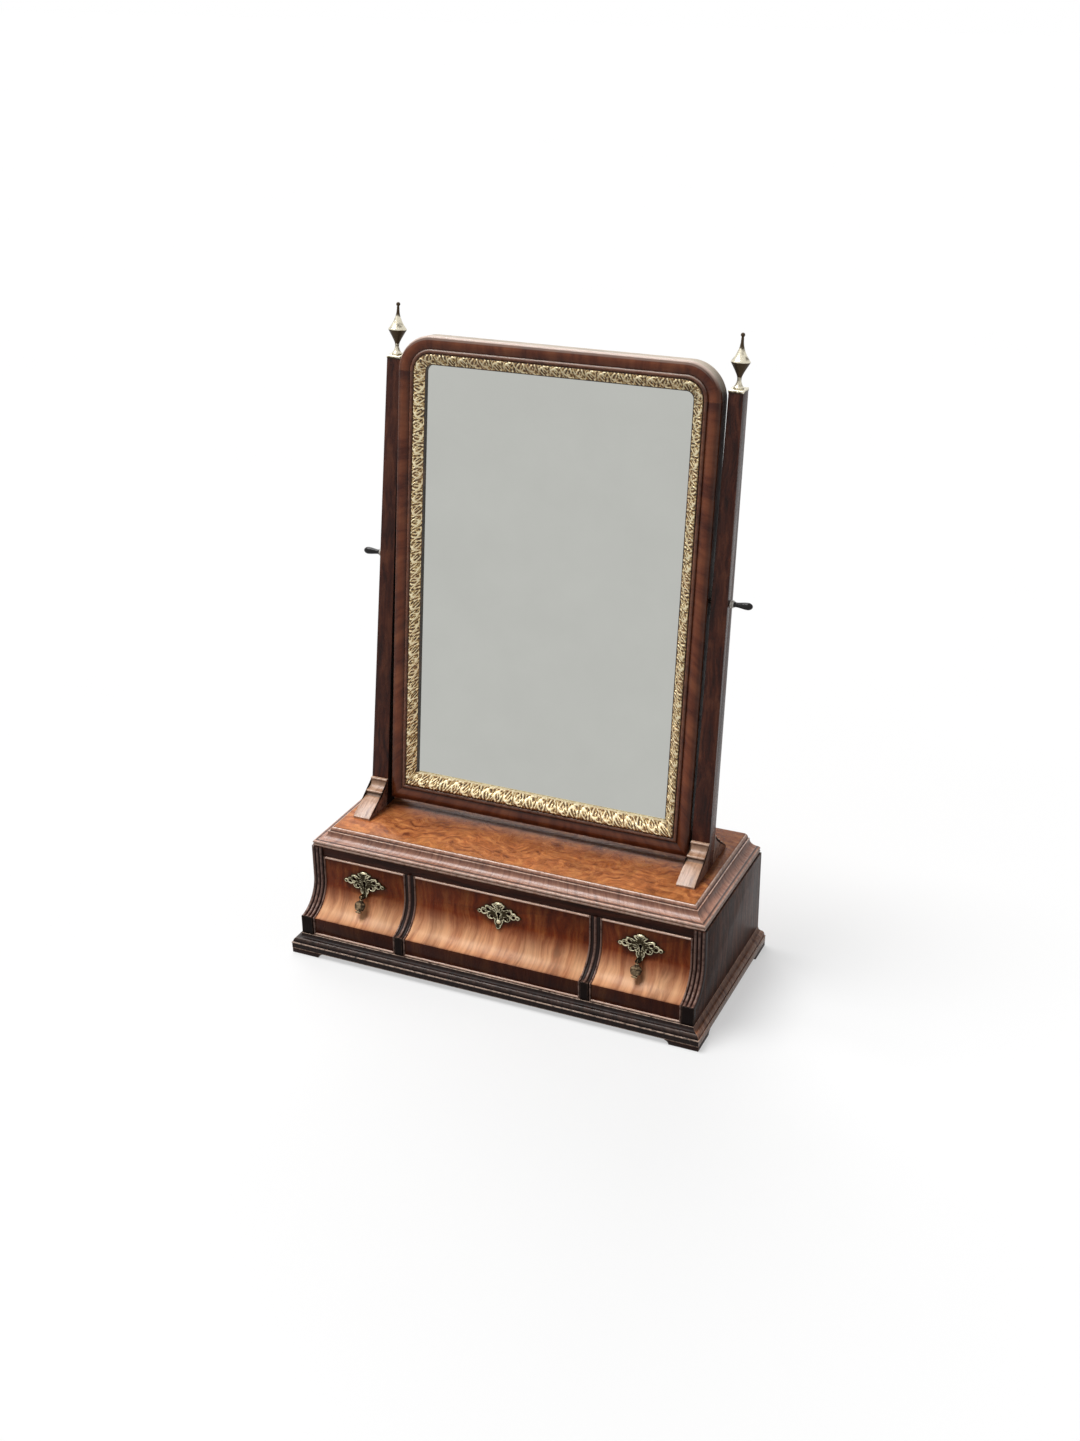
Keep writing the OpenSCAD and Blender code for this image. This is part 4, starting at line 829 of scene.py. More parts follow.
def front_strip(section, x, low, high, s_low=0.0):
    """A section carried up the front. Its x runs across the strip and its y in from the front."""
    s = np.concatenate([np.linspace(s_low, 1, 5), np.linspace(1, 2, 34)[1:], np.linspace(2, 3, 5)[1:]])
    s = np.unique(s[s >= s_low])
    y, z = front_line(-section[None, :, 1], s[:, None], low, high)
    return np.stack([np.broadcast_to(x + section[:, 0], y.shape), y, z], -1)


y, z = front_line(0, np.array([0, 1, 1.5, 2, 3]), plinth_top, box_top)
print("front line (y, z):", [(round(a, 1), round(b, 1)) for a, b in zip(y, z)])


# %% Reeded strips and their lip blocks
REED_R, BACK = 2.0, 4.0  # mm: a reed's radius, and the strips' flat back behind the front line


def reeds(width, count):
    """A strip's section: `count` half-round reeds side by side, over a flat back."""
    x = np.linspace(-width / 2, width / 2, 18 * count + 1)
    pitch = width / count
    local = (x + width / 2) % pitch - pitch / 2
    y = -np.maximum(np.sqrt(np.clip(REED_R ** 2 - local ** 2, 0, None)), 0.4)
    return np.concatenate([[(-width / 2, BACK), (-width / 2, 0.3)], points(x, y),
                           [(width / 2, 0.3), (width / 2, BACK)]])


skins = []
end_x = (box_w - strip_w) / 2
for x, width, count, high in ((-end_x, strip_w, 3, box_top), (end_x, strip_w, 3, box_top),
                              (-partition_x, partition_w, 1, opening_top),
                              (partition_x, partition_w, 1, opening_top)):
    outline = reeds(width - 0.1, count)
    section, arris = ring(outline, ease=0.1, step=2, turn=60, reach=0.7)
    # Reed crests take the pale rubbed edge, partly a painted highlight, and the valleys between reeds
    # the corner dark, partly painted shade.
    crest = np.clip(-section[:, 1] / REED_R, -1, 1) ** 3 * 0.7
    groove = np.where((section[:, 1] > -1.0) & (section[:, 1] < 0.5), -0.6, 0)
    skins.append(skin(front_strip(section, x, plinth_top, high, 1.0), crest + groove, flat=section))
    w = width / 2
    block = ring([(-w, -REED_R), (w, -REED_R), (w, BACK), (-w, BACK)], 0.6, 1.2)
    grid, ends = slab(block[0], (x, lip_y, plinth_top + 0.02), (x, lip_y, lip_top + 1), X, Y, 0.6)
    skins.append(skin(grid, block[1] * 0.7 + ends * 0.4, flat=block[0], finish=1))
piece("reeded_front_strips", skins, (reed_walnut, block_walnut), "stand", "front_strips", "dark_walnut")
print("four strips and four blocks")

# %% [markdown]
# ## Drawers
#
# Each front is shaped from a thick piece of pine and veneered with flame-figured walnut, its streaks
# upright. Its CAD solid already has the hollow, the keyhole and the laps for the linings, so a
# copy of it is merged, its flat faces are joined and its edges eased. The bead round it is four
# strips with a round nose: two run straight, and two follow the line of the front.

# %% A copy of a CAD solid with eased edges
SAME_PLACE, FLAT = 2e-6, 0.5  # metres, and degrees between two triangles of one face
ON_ROUND, AT_RIM = 0.9, 0.1  # arris


def merged(node, name):
    """A copy of a CAD node's mesh and its editable form, with corners in one place made one."""
    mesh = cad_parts[node].data.copy()
    mesh.name = name
    bm = bmesh.new()
    bm.from_mesh(mesh)
    bmesh.ops.remove_doubles(bm, verts=bm.verts, dist=SAME_PLACE)
    return mesh, bm


def eased_copy(node, name, material, body, ease=0.35, turn=35, segments=2):
    """A merged copy of a CAD node's mesh. Its flat triangles are joined, and edges that turn more than
    `turn` degrees get a small round, whose new corners get an arris."""
    mesh, bm = merged(node, name)
    bmesh.ops.dissolve_limit(bm, angle_limit=radians(FLAT), verts=bm.verts, edges=bm.edges)
    bm.normal_update()
    layer = bm.verts.layers.float.new("arris")
    edges = [e for e in bm.edges if len(e.link_faces) == 2 and e.calc_face_angle(0) > radians(turn)]
    made = bmesh.ops.bevel(bm, geom=edges, offset=ease / 1000, segments=segments, profile=0.5,
                           affect="EDGES", clamp_overlap=True)
    small = set(made["faces"])
    for v in {v for f in small for v in f.verts}:
        v[layer] = ON_ROUND if all(f in small for f in v.link_faces) else AT_RIM
    bm.to_mesh(mesh)
    bm.free()
    coated(mesh, material, 40)
    return placed(name, mesh, body, node)


# %% The drawer fronts' veneer
def front_painted_light_and_shade(r, colour, growth):
    """Painted light and shade on the veneer: painted shade on the lip and up the upright part under the
    top, a pale painted band of light in the hollow that faces up, and darkening round the brass plates
    and under their piercings, partly wax and partly painted shade."""
    x, _, z = r.xyz()
    # Painted shade on the lip.
    colour = r.mix(r.span(z, 39.4, 39.1, 0.0, 0.7), colour, (62, 22, 12))
    # Painted light and shade up the front: brighter low in the hollow, darker on the lip and towards the
    # top.
    colour = r.toned(colour, r.graded(z, (20, 0.45), (39.0, 0.50), (40.4, 1.05), (48, 1.25), (58, 1.0),
                                      (70, 0.80), (82, 0.62), (98, 0.42)))
    # A pale painted band of light in the hollow.
    painted_light_band = r.graded(z, (20, 0.0), (39.2, 0.0), (40.0, 0.50), (44, 0.76), (50, 0.56), (58, 0.22),
                      (66, 0.0))
    pale = r.times(painted_light_band, r.span(growth, 0.36, 0.60, 0.50, 1.10), clamp=True)
    colour = r.mix(pale, colour, (246, 196, 150))
    apart = 9.0  # from the nearest plate, where 1 is the rim of an oval 26 mm by 15 mm about it
    for key in keys.values():
        across, above = r.times(r.minus(x, key), 1 / 26), r.times(r.minus(z, key_z), 1 / 15)
        apart = r.math("MINIMUM", apart, r.math("SQRT", r.times(across, across, r.times(above, above))))
    # Darker round the plates and under their piercings: wax, and painted shade.
    return r.mix(r.span(apart, 0.55, 1.05, 0.85, 0.0), colour, (34, 16, 8))


flame = walnut("drawer_front_flame_walnut", (88, 27, 12), (152, 68, 32), (220, 134, 74), "z", (120, 6.5),
               5, 0.10, (90, 9), 0.9, (236, 196, 168), 0.85, fibres=0.10, pores=0.3, gloss=0.24,
               shine=0.10, depth=0.00005, squash=0.04, tone_by_place=front_painted_light_and_shade)
print("veneer:", flame.name)


# %% Drawer fronts and beads
NOSE_R, BEAD_D, PROUD_BY = 1.0, 5.0, 0.2  # mm: a bead's round nose, its depth and its start
nose = np.concatenate([[(-NOSE_R, BEAD_D), (-NOSE_R, -PROUD_BY)],
                       arc(0, -PROUD_BY, NOSE_R, 180, 360, 13), [(NOSE_R, BEAD_D)]])
nose, arris = ring(nose, 0.12, 1.0, 60, 0.8)
crest = np.where(nose[:, 1] < PROUD_BY, 0.55, 0) + arris * 0.2
low, high = plinth_top + 0.2, opening_top - 0.5
for side, (x, width) in drawers.items():
    eased_copy(f"{side}_drawer_front", f"{side}_front_veneered", flame, f"{side}_drawer",
               0.4)
    w = width / 2 - 0.5
    skins = [skin(front_strip(nose, x + s * (w - NOSE_R), low, high), crest, flat=nose, finish=1)
             for s in (-1, 1)]
    reach = w - 2 * NOSE_R - 0.05
    for y, z in ((face_y, high - NOSE_R), (lip_y, low + NOSE_R)):
        grid = carried(nose, (x - reach, y, z), (x + reach, y, z), Z, Y, steps=3)
        skins.append(skin(grid, crest, flat=nose))
    piece(f"{side}_beads", skins, (beads_painted_highlight, reed_walnut), f"{side}_drawer",
          f"{side}_drawer_bead", "walnut")
print("three fronts, twelve strips of bead")

# %% [markdown]
# ## The mirror frame
#
# The frame is made of a top with both round corners, two sides and a bottom. Its section is a tall
# outer side with a rounded shoulder, a broad cushion that sinks to a shallow valley, and an inner
# roll. Everything is drawn in the mirror's own upright plane and then leant back about the pivots.

# %% Leaning a shape with the mirror
def leant(grid, angle=tilt, about=(pivot_y, pivot_z)):
    """(x, y, z) about a level axis: y' = y cos t + z sin t and z' = z cos t - y sin t, then moved."""
    t = radians(angle)
    x, y, z = np.moveaxis(grid, -1, 0)
    return np.stack([x, about[0] + y * cos(t) + z * sin(t), about[1] + z * cos(t) - y * sin(t)], -1)


def arched(section, w, up, r, steps=26, level=6):
    """A section carried round an arched top: a quarter circle, a straight of `level` steps and a
    quarter circle. Its x goes in from the outer edge and its y out of the face."""
    a = np.linspace(0, pi / 2, steps)
    angle = np.concatenate([pi - a, np.full(level - 1, pi / 2), pi / 2 - a])[:, None]
    centre = np.concatenate([np.full(steps, r - w), np.linspace(r - w, w - r, level + 1)[1:-1],
                             np.full(steps, w - r)])[:, None]
    radius = r - section[None, :, 0]
    y = np.broadcast_to(-section[None, :, 1], (len(angle), len(section)))
    return np.stack([centre + radius * np.cos(angle), y, up - r + radius * np.sin(angle)], -1)


x = np.linspace(2.7, 12.4, 20)[1:]
frame_outline = np.concatenate([
    [(rebate, -frame_back), (0.06, -frame_back)],  # the back
    arc(3.16, 9.25, 3.1, 180, 97, 10),  # the shoulder
    points(x, frame_front - 2 * ((x - 6) / 6.4) ** 2),  # the cushion and the valley
    arc(14.6, 10.2, 2.1, 165, 0, 12),  # the inner roll
    [(frame_w, -1.5), (rebate, -1.5)]])  # the edge of the sight and the rebate
section, arris = ring(frame_outline, ease=0.25, step=1.1, turn=30, reach=0.9)
arris = np.maximum(arris, -0.15)
outer = (section[:, 0] < 0.45) & (section[:, 1] < 9.0)
gap = 0.06  # mm, at the joints between the runs


def frame_run(name, node, grid):
    """One run of the frame, leant with it. The attribute across lets its finish follow the section."""
    piece(name, [skin(leant(grid), arris, flat=section, second=outer)], (frame_walnut, edge_walnut),
          "mirror", node, "walnut", across=np.tile(section[:, 0], len(grid)))


top = arched(section, half, frame_up, corner_r)
top[[0, -1], :, 2] += gap
frame_run("frame_arched_top", "frame_top", top)
for side, s in (("left", -1), ("right", 1)):
    run = carried(section, (s * half, 0, -frame_low), (s * half, 0, frame_up - corner_r - gap),
                  -s * X, -Y, (1, 0), 12)
    run[0, :, 2] += gap
    frame_run(f"frame_{side}_side", f"frame_{side}", run)
frame_run("frame_bottom_run", "frame_bottom", carried(
    section, (-half, 0, -frame_low), (half, 0, -frame_low), Z, -Y, (1, -1), 10))
print("frame section:", len(section), "points; top grid", top.shape[:2])

# %% [markdown]
# ## The carved and gilt slip
#
# A slip of pine inside the frame is carved with running scrolls and leaves, laid with gesso and gold.
# At this size the carving is small lobes and grooves, so it is a height function: a repeat 24 mm
# long holds leaf strokes, each a curve with a width that tapers, and the height is the highest dome
# among them. The grid is about half a millimetre fine, and every other repeat is turned over, which
# is how a carver keeps a run from looking stamped.

# %% The carver's strokes
PATTERN_L, PATTERN_W, FINER = 50, 9, 2.1  # the drawing's repeat, and how much smaller it is cut
strokes = [  # three points of each curve, then its half width at both ends
    ((1, 7.2), (9, -1.0), (19, 4.6), 1.5, 1.0), ((25, 1.8), (33, 10), (44, 4.4), 1.5, 1.0),
    ((19, 4.6), (23, 7.4), (18, 7.9), 1.0, 1.5), ((44, 4.4), (48, 1.6), (43, 1.1), 1.0, 1.5),
    ((6, 4.4), (9, 7.4), (14, 8.0), 1.4, 0.5), ((11, 2.6), (14, 5.2), (15.5, 5.8), 1.0, 0.5),
    ((12, 1.6), (15, 0.6), (19, 1.0), 1.0, 0.5), ((3, 5.0), (2, 2.4), (5, 0.9), 1.1, 0.5),
    ((30, 4.6), (33, 1.6), (38, 1.0), 1.4, 0.5), ((36, 6.4), (39, 3.6), (40.5, 3.2), 1.0, 0.5),
    ((37, 7.4), (41, 8.4), (45, 7.6), 1.0, 0.5), ((27, 4.0), (26, 6.8), (29, 8.2), 1.1, 0.5),
    ((22, 1.2), (23, 0.6), (24, 0.8), 1.1, 0.9), ((47, 7.8), (48, 8.4), (49, 8.0), 1.1, 0.9),
    ((21.5, 4.5), (22, 4.5), (22.5, 4.5), 1.2, 1.2), ((46.8, 4.5), (47.2, 4.5), (47.6, 4.5), 1.2, 1.2)]
t = np.linspace(0, 1, 16)[:, None]
dots, widths = [], []
for *three, r0, r1 in strokes:
    a, b, c = np.array(three, float)
    dots.append(bend(t, a, b, c))
    widths.append((r0 + (r1 - r0) * t[:, 0]) * (1 - 0.25 * (2 * t[:, 0] - 1) ** 2))
dots, widths = np.concatenate(dots), np.concatenate(widths)


def carving(along, across):
    """Height 0..1 of the ornament at mm along the run and 0..9 across it: over all strokes, the
    greatest of sqrt(1 - (distance / width)^2), over a lower ground of leaf blades, each the root of
    |sin| of a slanting distance. Odd repeats are mirrored across the run."""
    along = along * FINER
    repeat = np.floor(along / PATTERN_L)
    u = along - PATTERN_L * repeat
    v = np.where(repeat % 2 == 0, across, PATTERN_W - across)
    best = np.zeros(u.shape)
    for shift in (-PATTERN_L, 0, PATTERN_L):
        near = (dots[:, 0] + shift > -3) & (dots[:, 0] + shift < PATTERN_L + 3)
        d2 = (u[..., None] - dots[near, 0] - shift) ** 2 + (v[..., None] - dots[near, 1]) ** 2
        best = np.maximum(best, np.sqrt(np.clip(1 - d2 / widths[near] ** 2, 0, 1)).max(-1))
    slope = np.where(repeat % 2 == 0, 1, -1) * 0.9
    leaf = np.abs(np.sin(pi * (u + slope * np.abs(v - PATTERN_W / 2) + 0.8 * np.sin(u / 4.0)) / 2.9))
    leaf = leaf ** 0.5 * (0.55 + 0.25 * np.sin(u * 0.9 + v * 1.3))
    return np.maximum(best, leaf * np.clip(1.3 - best * 1.3, 0, 1) * 0.85)


sample = carving(*np.meshgrid(np.arange(0, PATTERN_L, 0.5), np.arange(0, PATTERN_W, 0.5)))
print("strokes:", len(strokes), "carved share:", round(float((sample > 0.1).mean()), 2))


# %% Gilt runs
PITCH, FINE_PITCH = 0.6, 0.5  # mm between points, along a run and across it
PROUD, SUNK = 1.2, 0.75  # mm of relief, and how much of it lies below the drawn section


def slip_outline(width):
    """The slip's section with a finely divided ogee, and for each point how far across the carving
    it lies (below 0 elsewhere)."""
    crest = quarter(0.0, 11.1, 2.6, 12.5, "up", 7)
    k = np.linspace(0, 1, int((width - 2.6) / FINE_PITCH))[1:]
    ogee = points(2.6 + (width - 2.6) * k, 7.1 + 5.4 * (1 + np.cos(pi * k)) / 2)
    outline = np.concatenate([[(width - 0.03, 6.7), (width, 4.62), (0.0, 4.62)], crest, ogee])
    across = np.concatenate([[-2.0, -2.0, -1.0], PATTERN_W * crest[:, 0] / width,
                             PATTERN_W * ogee[:, 0] / width])
    return outline[::-1], across[::-1]


def gilded(grid, across, seed, sight):
    """Raises the carving out of the face (-y in the mirror's plane), 0.45 mm above and 0.75 below the
    drawn section, and fades it at both rims. Returns the grid and the relief. sight is the relief, and
    so the brightness of the gold, at the edge next to the glass and on the wall down to it: a low value
    paints shade there, a high one a painted highlight."""
    line = grid[:, across > 0].mean(1)
    along = np.concatenate([[0], np.cumsum(np.linalg.norm(np.diff(line, axis=0), axis=1))])
    u = along[:, None] + 0.35 * np.sin(along / 7 + seed)[:, None] + seed * 9
    v = np.broadcast_to(across, grid.shape[:2])
    field = np.clip((v - 0.1) / 0.4, 0, 1) * np.clip((8.5 - v) / 0.3, 0, 1)
    height = carving(np.broadcast_to(u, v.shape), np.clip(v, 0, PATTERN_W))
    punch = 0.12 * np.sin(u * 3.9) * np.sin(v * 4.1 + u)
    lift = field * (height * (PROUD + 0.1 * np.sin(u / 3.1)) - SUNK + np.where(height < 0.1, punch, 0))
    ends = np.minimum(along, along[-1] - along)[:, None]
    carved = grid.copy()
    carved[..., 1] -= lift * np.clip(ends / 1.5, 0, 1)
    rim = np.where(v > 4, sight, 0.15)
    relief = np.where(v >= 0, rim * (1 - field) + field * height, np.where(v < -1.5, sight - 0.3, 0.2))
    return carved, relief


gold = Recipe("worn_gilding")
relief = gold.attribute("relief")
rub = gold.noise(gold.place(), 1 / 1.9, 4.0, 0.65)
tone_by_place = gold.noise(gold.place(), 1 / 30, 3.0)
level = gold.times(gold.minus(rub, 0.5), 1.1, relief)
tone = gold.ramp(level, (0.16, (42, 24, 10)), (0.38, (138, 98, 52)),
                 (0.58, (220, 190, 130)), (0.80, (254, 240, 200)))
tone = gold.mix(gold.span(tone_by_place, 0.5, 0.75, 0.0, 0.35), tone, (180, 132, 96))
# Painted shade: the gold is darker along the top run and down the right side.
x, _, z = gold.xyz()
tone = gold.toned(tone, gold.times(gold.span(z, 560, 592, 1.0, 0.68), gold.span(x, 120, 140, 1.0, 0.86)))
bare = gold.times(gold.span(rub, 0.60, 0.68), gold.span(relief, 0.5, 0.9))
tone = gold.mix(gold.times(bare, 0.7), tone, (224, 206, 176))
leaf = gold.times(gold.span(level, 0.2, 0.55), gold.minus(0.55, gold.times(bare, 0.5)))
gilding = gold.finish(tone, gold.span(rub, 0.3, 0.7, 0.30, 0.44), gold.times(rub, 0.6, relief), 0.00015,
                      Metallic=leaf)
skins, reliefs = [], []


def gild(grid, across, seed, flat, sight=0.1):
    """Carves one run, leans it and keeps its skin and its relief."""
    carved, relief = gilded(grid, across, seed, sight)
    skins.append(skin(leant(carved), flat=flat))
    reliefs.append(relief.ravel())


outline, across = slip_outline(slip_w)
gild(arched(outline, slip_half, slip_up, slip_r, int(slip_r * pi / 2 / PITCH),
            int(2 * (slip_half - slip_r) / PITCH)), across, 0.0, outline)
for s in (-1, 1):
    start, end = (s * slip_half, 0, -slip_low + 0.1), (s * slip_half, 0, slip_up - slip_r - 0.05)
    gild(carried(outline, start, end, -s * X, -Y, (slip_bottom_w / slip_w, 0),
                 int((end[2] - start[2]) / PITCH)), across, 1.0 + s, outline)
# The bottom run's sight edge gets a painted highlight, and the other runs' edges get painted shade.
outline, across = slip_outline(slip_bottom_w)
mitre = slip_w / slip_bottom_w
gild(carried(outline, (-slip_half, 0, -slip_low), (slip_half, 0, -slip_low), Z, -Y, (mitre, -mitre),
             int(2 * slip_half / PITCH)), across, 3.0, outline, 1.0)
slip = piece("gilt_carved_slip", skins, gilding, "mirror", "gilt_slip", "gilt", 70,
             relief=np.concatenate(reliefs))
print("gilt slip:", len(slip.data.polygons), "faces")

# %% [markdown]
# ## Posts, brackets and the top board
#
# The posts are square, taper upwards and lean back. Their CAD solids have the bores for the pivot
# screws, so eased copies are used. The brackets before and behind each post are cut from one
# stepped outline: a roll, a hollow, a small roll and a long sweep down to a thin toe.

# %% Posts and boards
for side in ("left", "right"):
    post = eased_copy(f"post_{side}", f"{side}_post_squared", dark, "stand", 0.7,
                      segments=3).data
    post.materials.append(post_gap_painted_shade)
    centre = np.empty(len(post.polygons) * 3)
    post.polygons.foreach_get("center", centre)
    # The faces towards the mirror get the near-black walnut: painted shade.
    towards_mirror = abs(centre[::3]) * 1000 < post_in + 0.3
    post.polygons.foreach_set("material_index", towards_mirror.astype(np.int32))
for node, name, material, slot, ease in (
        ("top_board", "top_board_veneered", panel, "figured_walnut", 0.4),
        ("side_left", "box_side_left", upright, "walnut", 0.4),
        ("side_right", "box_side_right", upright, "walnut", 0.4),
        ("top_rail", "rail_over_drawers", dark_rail, "dark_walnut", 0.3),
        ("feet", "bracket_feet", foot_walnut, "dark_walnut", 0.5)):
    eased_copy(node, name, material, "stand", ease)
print("posts, top, sides, rail and feet")


# %% Brackets
BRACKET_L, BRACKET_H = 38, 28.6


def bracket_outline(leans):
    """Forward of the post's foot and up from the top. leans is how far the post's face has moved
    at the bracket's top."""
    x, z = leans + BRACKET_L * 0.33, BRACKET_H * 0.64
    k = np.linspace(0, 1, 14)[1:]
    sweep_x, sweep_z = x + 3.8, z * 0.76
    sweep = points(sweep_x + (BRACKET_L - sweep_x) * k, sweep_z + (2.2 - sweep_z) * k ** 1.4)
    return np.concatenate([
        [(0, 0), (leans, BRACKET_H)], arc(leans + 2.2, 27.4, 1.2, 90, -60, 8),
        quarter(leans + 3, 26.0, x, z + 0.8, "up", 10), arc(x + 0.3, z - 0.4, 1.2, 90, -50, 8),
        quarter(x + 0.9, z - 1.4, sweep_x, sweep_z, "up", 8), sweep, [(BRACKET_L, 0)]])


skins = []
for d in (-1, 1):
    base = foot_y + d * 8.1
    slope = d * (head_y + d * 7.3 - base) / (post_head_z - top_z)
    outline, arris = ring(bracket_outline(slope * BRACKET_H), 0.25, 1.0, 30, 0.9)
    for x in (-post_in - post_w, post_in):
        grid, ends = slab(outline, (x, base, top_z), (x + post_w, base, top_z), d * Y, Z, 0.35)
        skins.append(skin(grid, arris + ends * 0.6, flat=outline, caps=1))
# The brackets' ends take the darker post walnut: painted shade on their sides.
piece("stepped_brackets", skins, (bracket_painted_light, dark), "stand", "brackets", "walnut")
print("bracket outline:", len(outline), "points")

# %% [markdown]
# ## Finials, knobs and collars
#
# These are turned. A lathe shape needs only its outline as radius and height, so each outline is
# written from the photograph: the finial has a flared foot, a thin neck, a cup that opens to a
# sharp rim, a hollow bell above it and a stem with a small ball. The cap plates lie level, while the
# finials lean with the posts.

# %% Finials and cap plates
r = 8.9
k = np.linspace(0, 1, 14)
finial = np.concatenate([
    [(0.05, -1.2), (4.6, -1.2), (4.9, 0.4), (4.9, 0.9), (4.6, 1.3)],  # the foot's edge
    points(1.9 + 2.5 * (1 - k) ** 2.4, 1.6 + 7.4 * k),  # the foot's flare, up to the neck
    arc(1.95, 9.4, 0.35, -70, 70, 6),  # a collar
    points(2.0 + (r - 2.0) * k ** 1.15, 9.9 + 13.2 * k)[1:],  # the cup
    [(r, 23.5), (r - 0.05, 24.0), (r - 0.5, 24.5)],  # its rim
    points(1.3 + 6.9 * (1 - k) ** 2.1, 24.8 + 18.5 * k), [(1.25, 44.3)],  # the bell and the stem
    arc(0, 47.1, 2.0, -58, 88, 14)])  # the ball
finial = no_repeats(finial)
finial_arris = profile_arris(finial) - 1.1 * np.clip((finial[:, 1:2] - 35) / 5, 0, 1)
skins = []
for s in (-1, 1):
    x = s * (post_in + post_head_w / 2)
    grid = leant(turned(finial, 72) + [x, 0, 0], lean, (head_y, post_head_z + cap_h))
    grid[..., 2] = np.maximum(grid[..., 2], post_head_z + cap_h + 0.05)
    skins.append(skin(grid, finial_arris))
    outline, arris = ring([(-7.4, -7.7), (7.4, -7.7), (7.4, 7.7), (-7.4, 7.7)], 0.8, 1.5)
    grid, ends = slab(outline, (x, head_y, post_head_z), (x, head_y, post_head_z + cap_h), X, Y, 0.6)
    skins.append(skin(grid, arris * 0.5 + ends, flat=outline))
piece("finials_and_caps", skins, pale_brass, "stand", "finials", "pale_brass", 50)
print("finial outline:", len(finial), "points")

# %% Pivot knobs and collars
k = np.linspace(0, 1, 22)
knob = np.concatenate([
    [(0.05, 0.02), (2.5, 0.02), (2.7, 0.3), (2.7, 0.9), (2.4, 1.25)],
    points(2.3 + 1.2 * (k ** 2 * (3 - 2 * k)), 1.7 + 11.2 * k),
    points(3.52 * np.cos(k * pi / 2 * 0.99), 13.0 + 4.9 * np.sin(k * pi / 2))[1:]])
collar = np.concatenate([arc(3.0, 0.85, 0.78, -90, 90, 9), arc(2.75, 2.85, 1.0, -62, 90, 10),
                         [(2.4, 3.95), (2.34, 0.08)]])
collar = np.maximum(collar, [2.33, 0.05])


def on_pivot(grid, side):
    """Turns a lathe shape's axis to point out along the pivot on one side."""
    x, y, z = np.moveaxis(grid, -1, 0)
    return np.stack([side * z, pivot_y + y, pivot_z + side * x], -1)


skins = []
for side, s in (("left", -1), ("right", 1)):
    grid = on_pivot(turned(knob, 48) + [0, 0, knob_x], s)
    piece(f"{side}_turned_knob", [skin(grid, profile_arris(knob))], ebony, f"{side}_knob",
          f"knob_{side}", "ebonised", 60)
    skins.append(skin(on_pivot(turned(collar, 48) + [0, 0, collar_x], s), 0.0, wrap=True))
piece("bone_collars", skins, bone, "stand", "pivot_collars", "bone", 50)
print("knob", round(knob[:, 1].max(), 1), "mm long")

# %% [markdown]
# ## Handle plates and drops
#
# The plates are cast brass, pierced and filed, with raised borders and a boss under the keyhole.
# The CAD has the right outline and the bend to the drawer front, but it is flat. A copy is remeshed
# to an even skin of small faces, and each point of its front then moves out by a height drawn from
# the distance to the outline: a raised border, a sunk ground and a rounded middle.

# %% The plate's outline as a distance
def plate_distance(x, z):
    """Distance in mm inside the plate's outline (below 0 outside): the greatest of radius - distance
    over its discs, cut by the distance to its piercings."""
    discs = [(0, 0, 8.5), (0, 8.5, 4.6), (0, 13.4, 2.2), (0, -8.5, 5), (0, -13, 3.2)]
    holes = [(0, 10.6, 1.2), (0, 0, 1.7), (0, -2.4, 0.9), (0, -4.2, 0.9)]
    for s in (-1, 1):
        discs += [(s * 9.5, 2.2, 5.4), (s * 9, -3.4, 4.2), (s * 15.6, 0.2, 4.2), (s * 20.6, -0.6, 2.5)]
        holes += [(s * 11, 2.8, 1.9), (s * 16, -0.4, 1.5), (s * 7.4, -4.4, 1.6), (s * 5, 6.6, 1.2)]
    inside = np.max([r - np.hypot(x - a, z - b) for a, b, r in discs], axis=0)
    pierced = np.min([np.hypot(x - a, z - b) - r for a, b, r in holes], axis=0)
    return inside, pierced


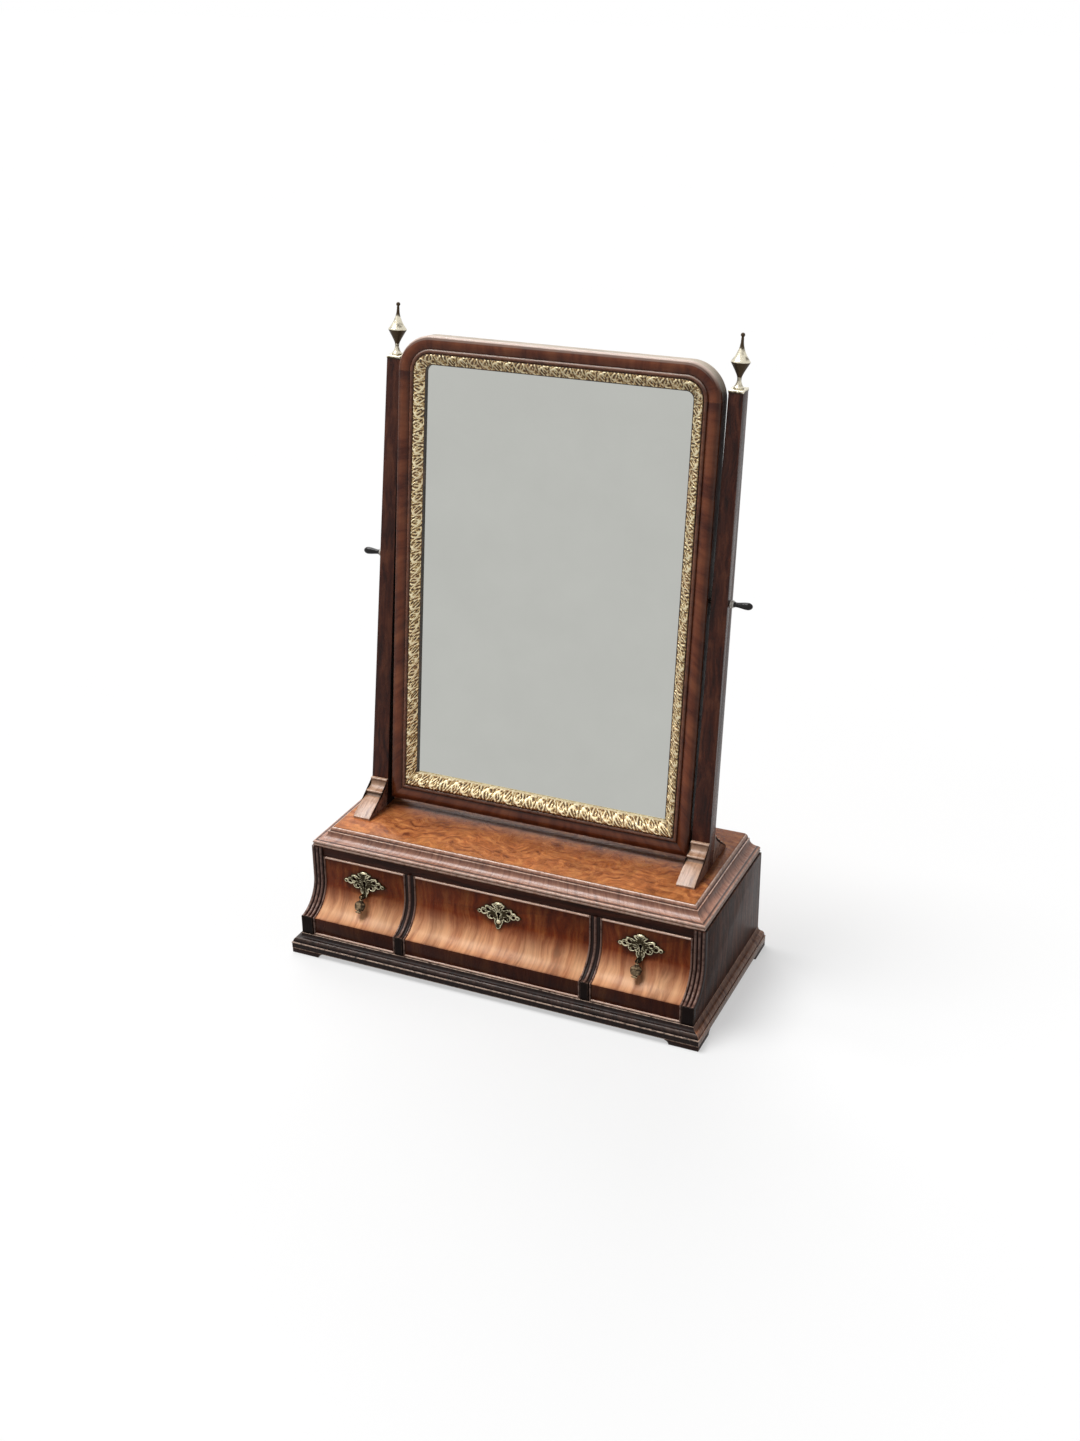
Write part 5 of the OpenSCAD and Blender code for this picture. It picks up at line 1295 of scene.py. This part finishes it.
PLATE_SKIN = 0.00032  # metres, the size of the new faces
for side in drawers:
    mesh, bm = merged(f"{side}_drawer_plate", f"{side}_flat_plate")
    bm.to_mesh(mesh)
    bm.free()
    plate = linked(f"{side}_flat_plate", mesh)
    remesh = plate.modifiers.new("even", "REMESH")
    remesh.mode, remesh.voxel_size = "VOXEL", PLATE_SKIN
    soft = plate.modifiers.new("soft", "SMOOTH")
    soft.factor, soft.iterations = 0.5, 4
    ready = bpy.data.meshes.new_from_object(plate.evaluated_get(bpy.context.evaluated_depsgraph_get()))
    bpy.data.objects.remove(plate)
    ready.name = f"{side}_cast_plate"
    co = np.empty(len(ready.vertices) * 3, np.float32)
    ready.vertices.foreach_get("co", co)
    co = co.reshape(-1, 3).astype(float) * 1000
    px, pz = co[:, 0] - keys[side], co[:, 2] - key_z
    hollow = cove_y + np.sqrt(np.clip(cove_r ** 2 - (cove_top - co[:, 2]) ** 2, 0, None))
    skin_y = np.where(co[:, 2] >= cove_top, face_y, hollow)
    ahead = np.clip((skin_y - co[:, 1] - 0.5) / 0.6, 0, 1)
    inside, pierced = plate_distance(px, pz)
    rim = np.exp(-((inside - 0.9) / 0.55) ** 2) + 0.45 * np.exp(-((pierced - 0.7) / 0.45) ** 2)
    bosses = 0.9 * dome(px, pz - 13.4, 1.9) + (1.3 * dome(px, pz + 8.6, 2.4) if side == "middle" else 0)
    ribs = 0.18 * np.cos(np.arctan2(pz, abs(px) + 1e-6) * 14) * np.clip(inside - 1.5, 0, 1)
    height = 0.62 * np.clip(rim, 0, 1) + 0.2 * np.clip(inside / 5, 0, 1) + ribs + bosses
    co[:, 1] -= ahead * height
    fuller = 1 + 1.1 * np.exp(-((pz - 12.5) / 4.5) ** 2)
    co[:, 0] = keys[side] + px * fuller
    co[:, 2] = key_z + np.where(pz > 8, 8 + (pz - 8) * 0.72, pz)
    ready.vertices.foreach_set("co", (co * 0.001).astype(np.float32).ravel())
    mark(ready, "arris", ahead * (1.2 * height - 0.34) - (1 - ahead) * 0.8)
    coated(ready, brass)
    placed(ready.name, ready, f"{side}_drawer", f"{side}_drawer_plate")
    print(ready.name, len(ready.polygons), "faces, relief up to", round(float(height.max()), 2), "mm")

# %% Drops
HANGS = 180 - 33  # degrees from pointing up, so it lies against the hollow's upper part
k = np.linspace(0, 1, 16)
drop = np.concatenate([
    [(0.05, 1.7), (1.5, 1.7), (1.9, 2.2)], arc(1.5, 3.0, 0.7, -80, 80, 7) + [0.4, 0],
    points(1.9 + 4.0 * np.sin(k * pi / 2) ** 0.9, 3.8 + 4.4 * k),
    points(2.0 + 3.9 * np.cos(k * pi / 2) ** 0.8, 8.2 + 7.2 * np.sin(k * pi / 2))[1:],
    [(1.9, 15.8)], arc(1.9, 17.0, 1.1, -70, 70, 9) + [0.6, 0], [(1.2, 18.3), (0.05, 18.5)]])
drop = no_repeats(drop * [1, 0.86] + [0, 0.25])
thick = (np.maximum(drop[:, 0], 1e-3) ** -5.0 + 2.65 ** -5.0) ** -0.2  # at most 2.65 mm, softly
body = turned(drop, 40)
body[..., 1] *= (thick / drop[:, 0])[:, None]
a, b = np.meshgrid(*(np.linspace(0, 2 * pi, n, endpoint=False) for n in (28, 12)), indexing="ij")
eye_r = 1.5 + 0.55 * np.cos(b)
eye_ring = np.stack([0.8 * np.sin(b), eye_r * np.sin(a), eye_r * np.cos(a)], -1)
for side in ("left", "right"):
    hung, eye = (leant(grid, -HANGS, (drop_y, drop_z)) + [keys[side], 0, 0] for grid in (body, eye_ring))
    piece(f"{side}_pear_drop", [skin(hung, profile_arris(drop)), skin(eye, 0.3, wrap=True)], drop_brass,
          f"{side}_drop", f"{side}_drop", "brass", 60)
print("two drops", round(float(drop[:, 1].max()), 1), "mm long")

# %% [markdown]
# ## The pieces that keep their CAD shape
#
# Boards, linings, locks, screws and the glass are as plain in life as in the drawing, so their
# CAD nodes stay and only get a finish. Oak goes on the drawer sides, pine on backs and
# bottoms, iron on bolts, screws and pins.

# %% Finishes on CAD nodes
def of_drawers(what):
    """The names of one kind of piece in all three drawers."""
    return [f"{side}_{what}" for side in drawers]


kept = {pine_x: ["bottom_board", "back_board", *of_drawers("drawer_bottom")],
        pine_z: ["partition_left", "partition_right", "backboard"],
        oak_y: of_drawers("drawer_linings"),
        iron: ["screw_left", "screw_right", "backboard_pins", *of_drawers("lock_bolt")],
        dull_brass: ["pivot_nuts", "left_pull_pin", "right_pull_pin", *of_drawers("drawer_lock")],
        glass: ["mirror_glass"]}
for material, nodes in kept.items():
    for node in nodes:
        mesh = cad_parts[node].data
        mesh.materials.clear()
        mesh.materials.append(material)
shown = [n for n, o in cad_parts.items() if not o.hide_render]
print("CAD nodes that stay:", len(shown), "with a finish:", sum(len(v) for v in kept.values()))
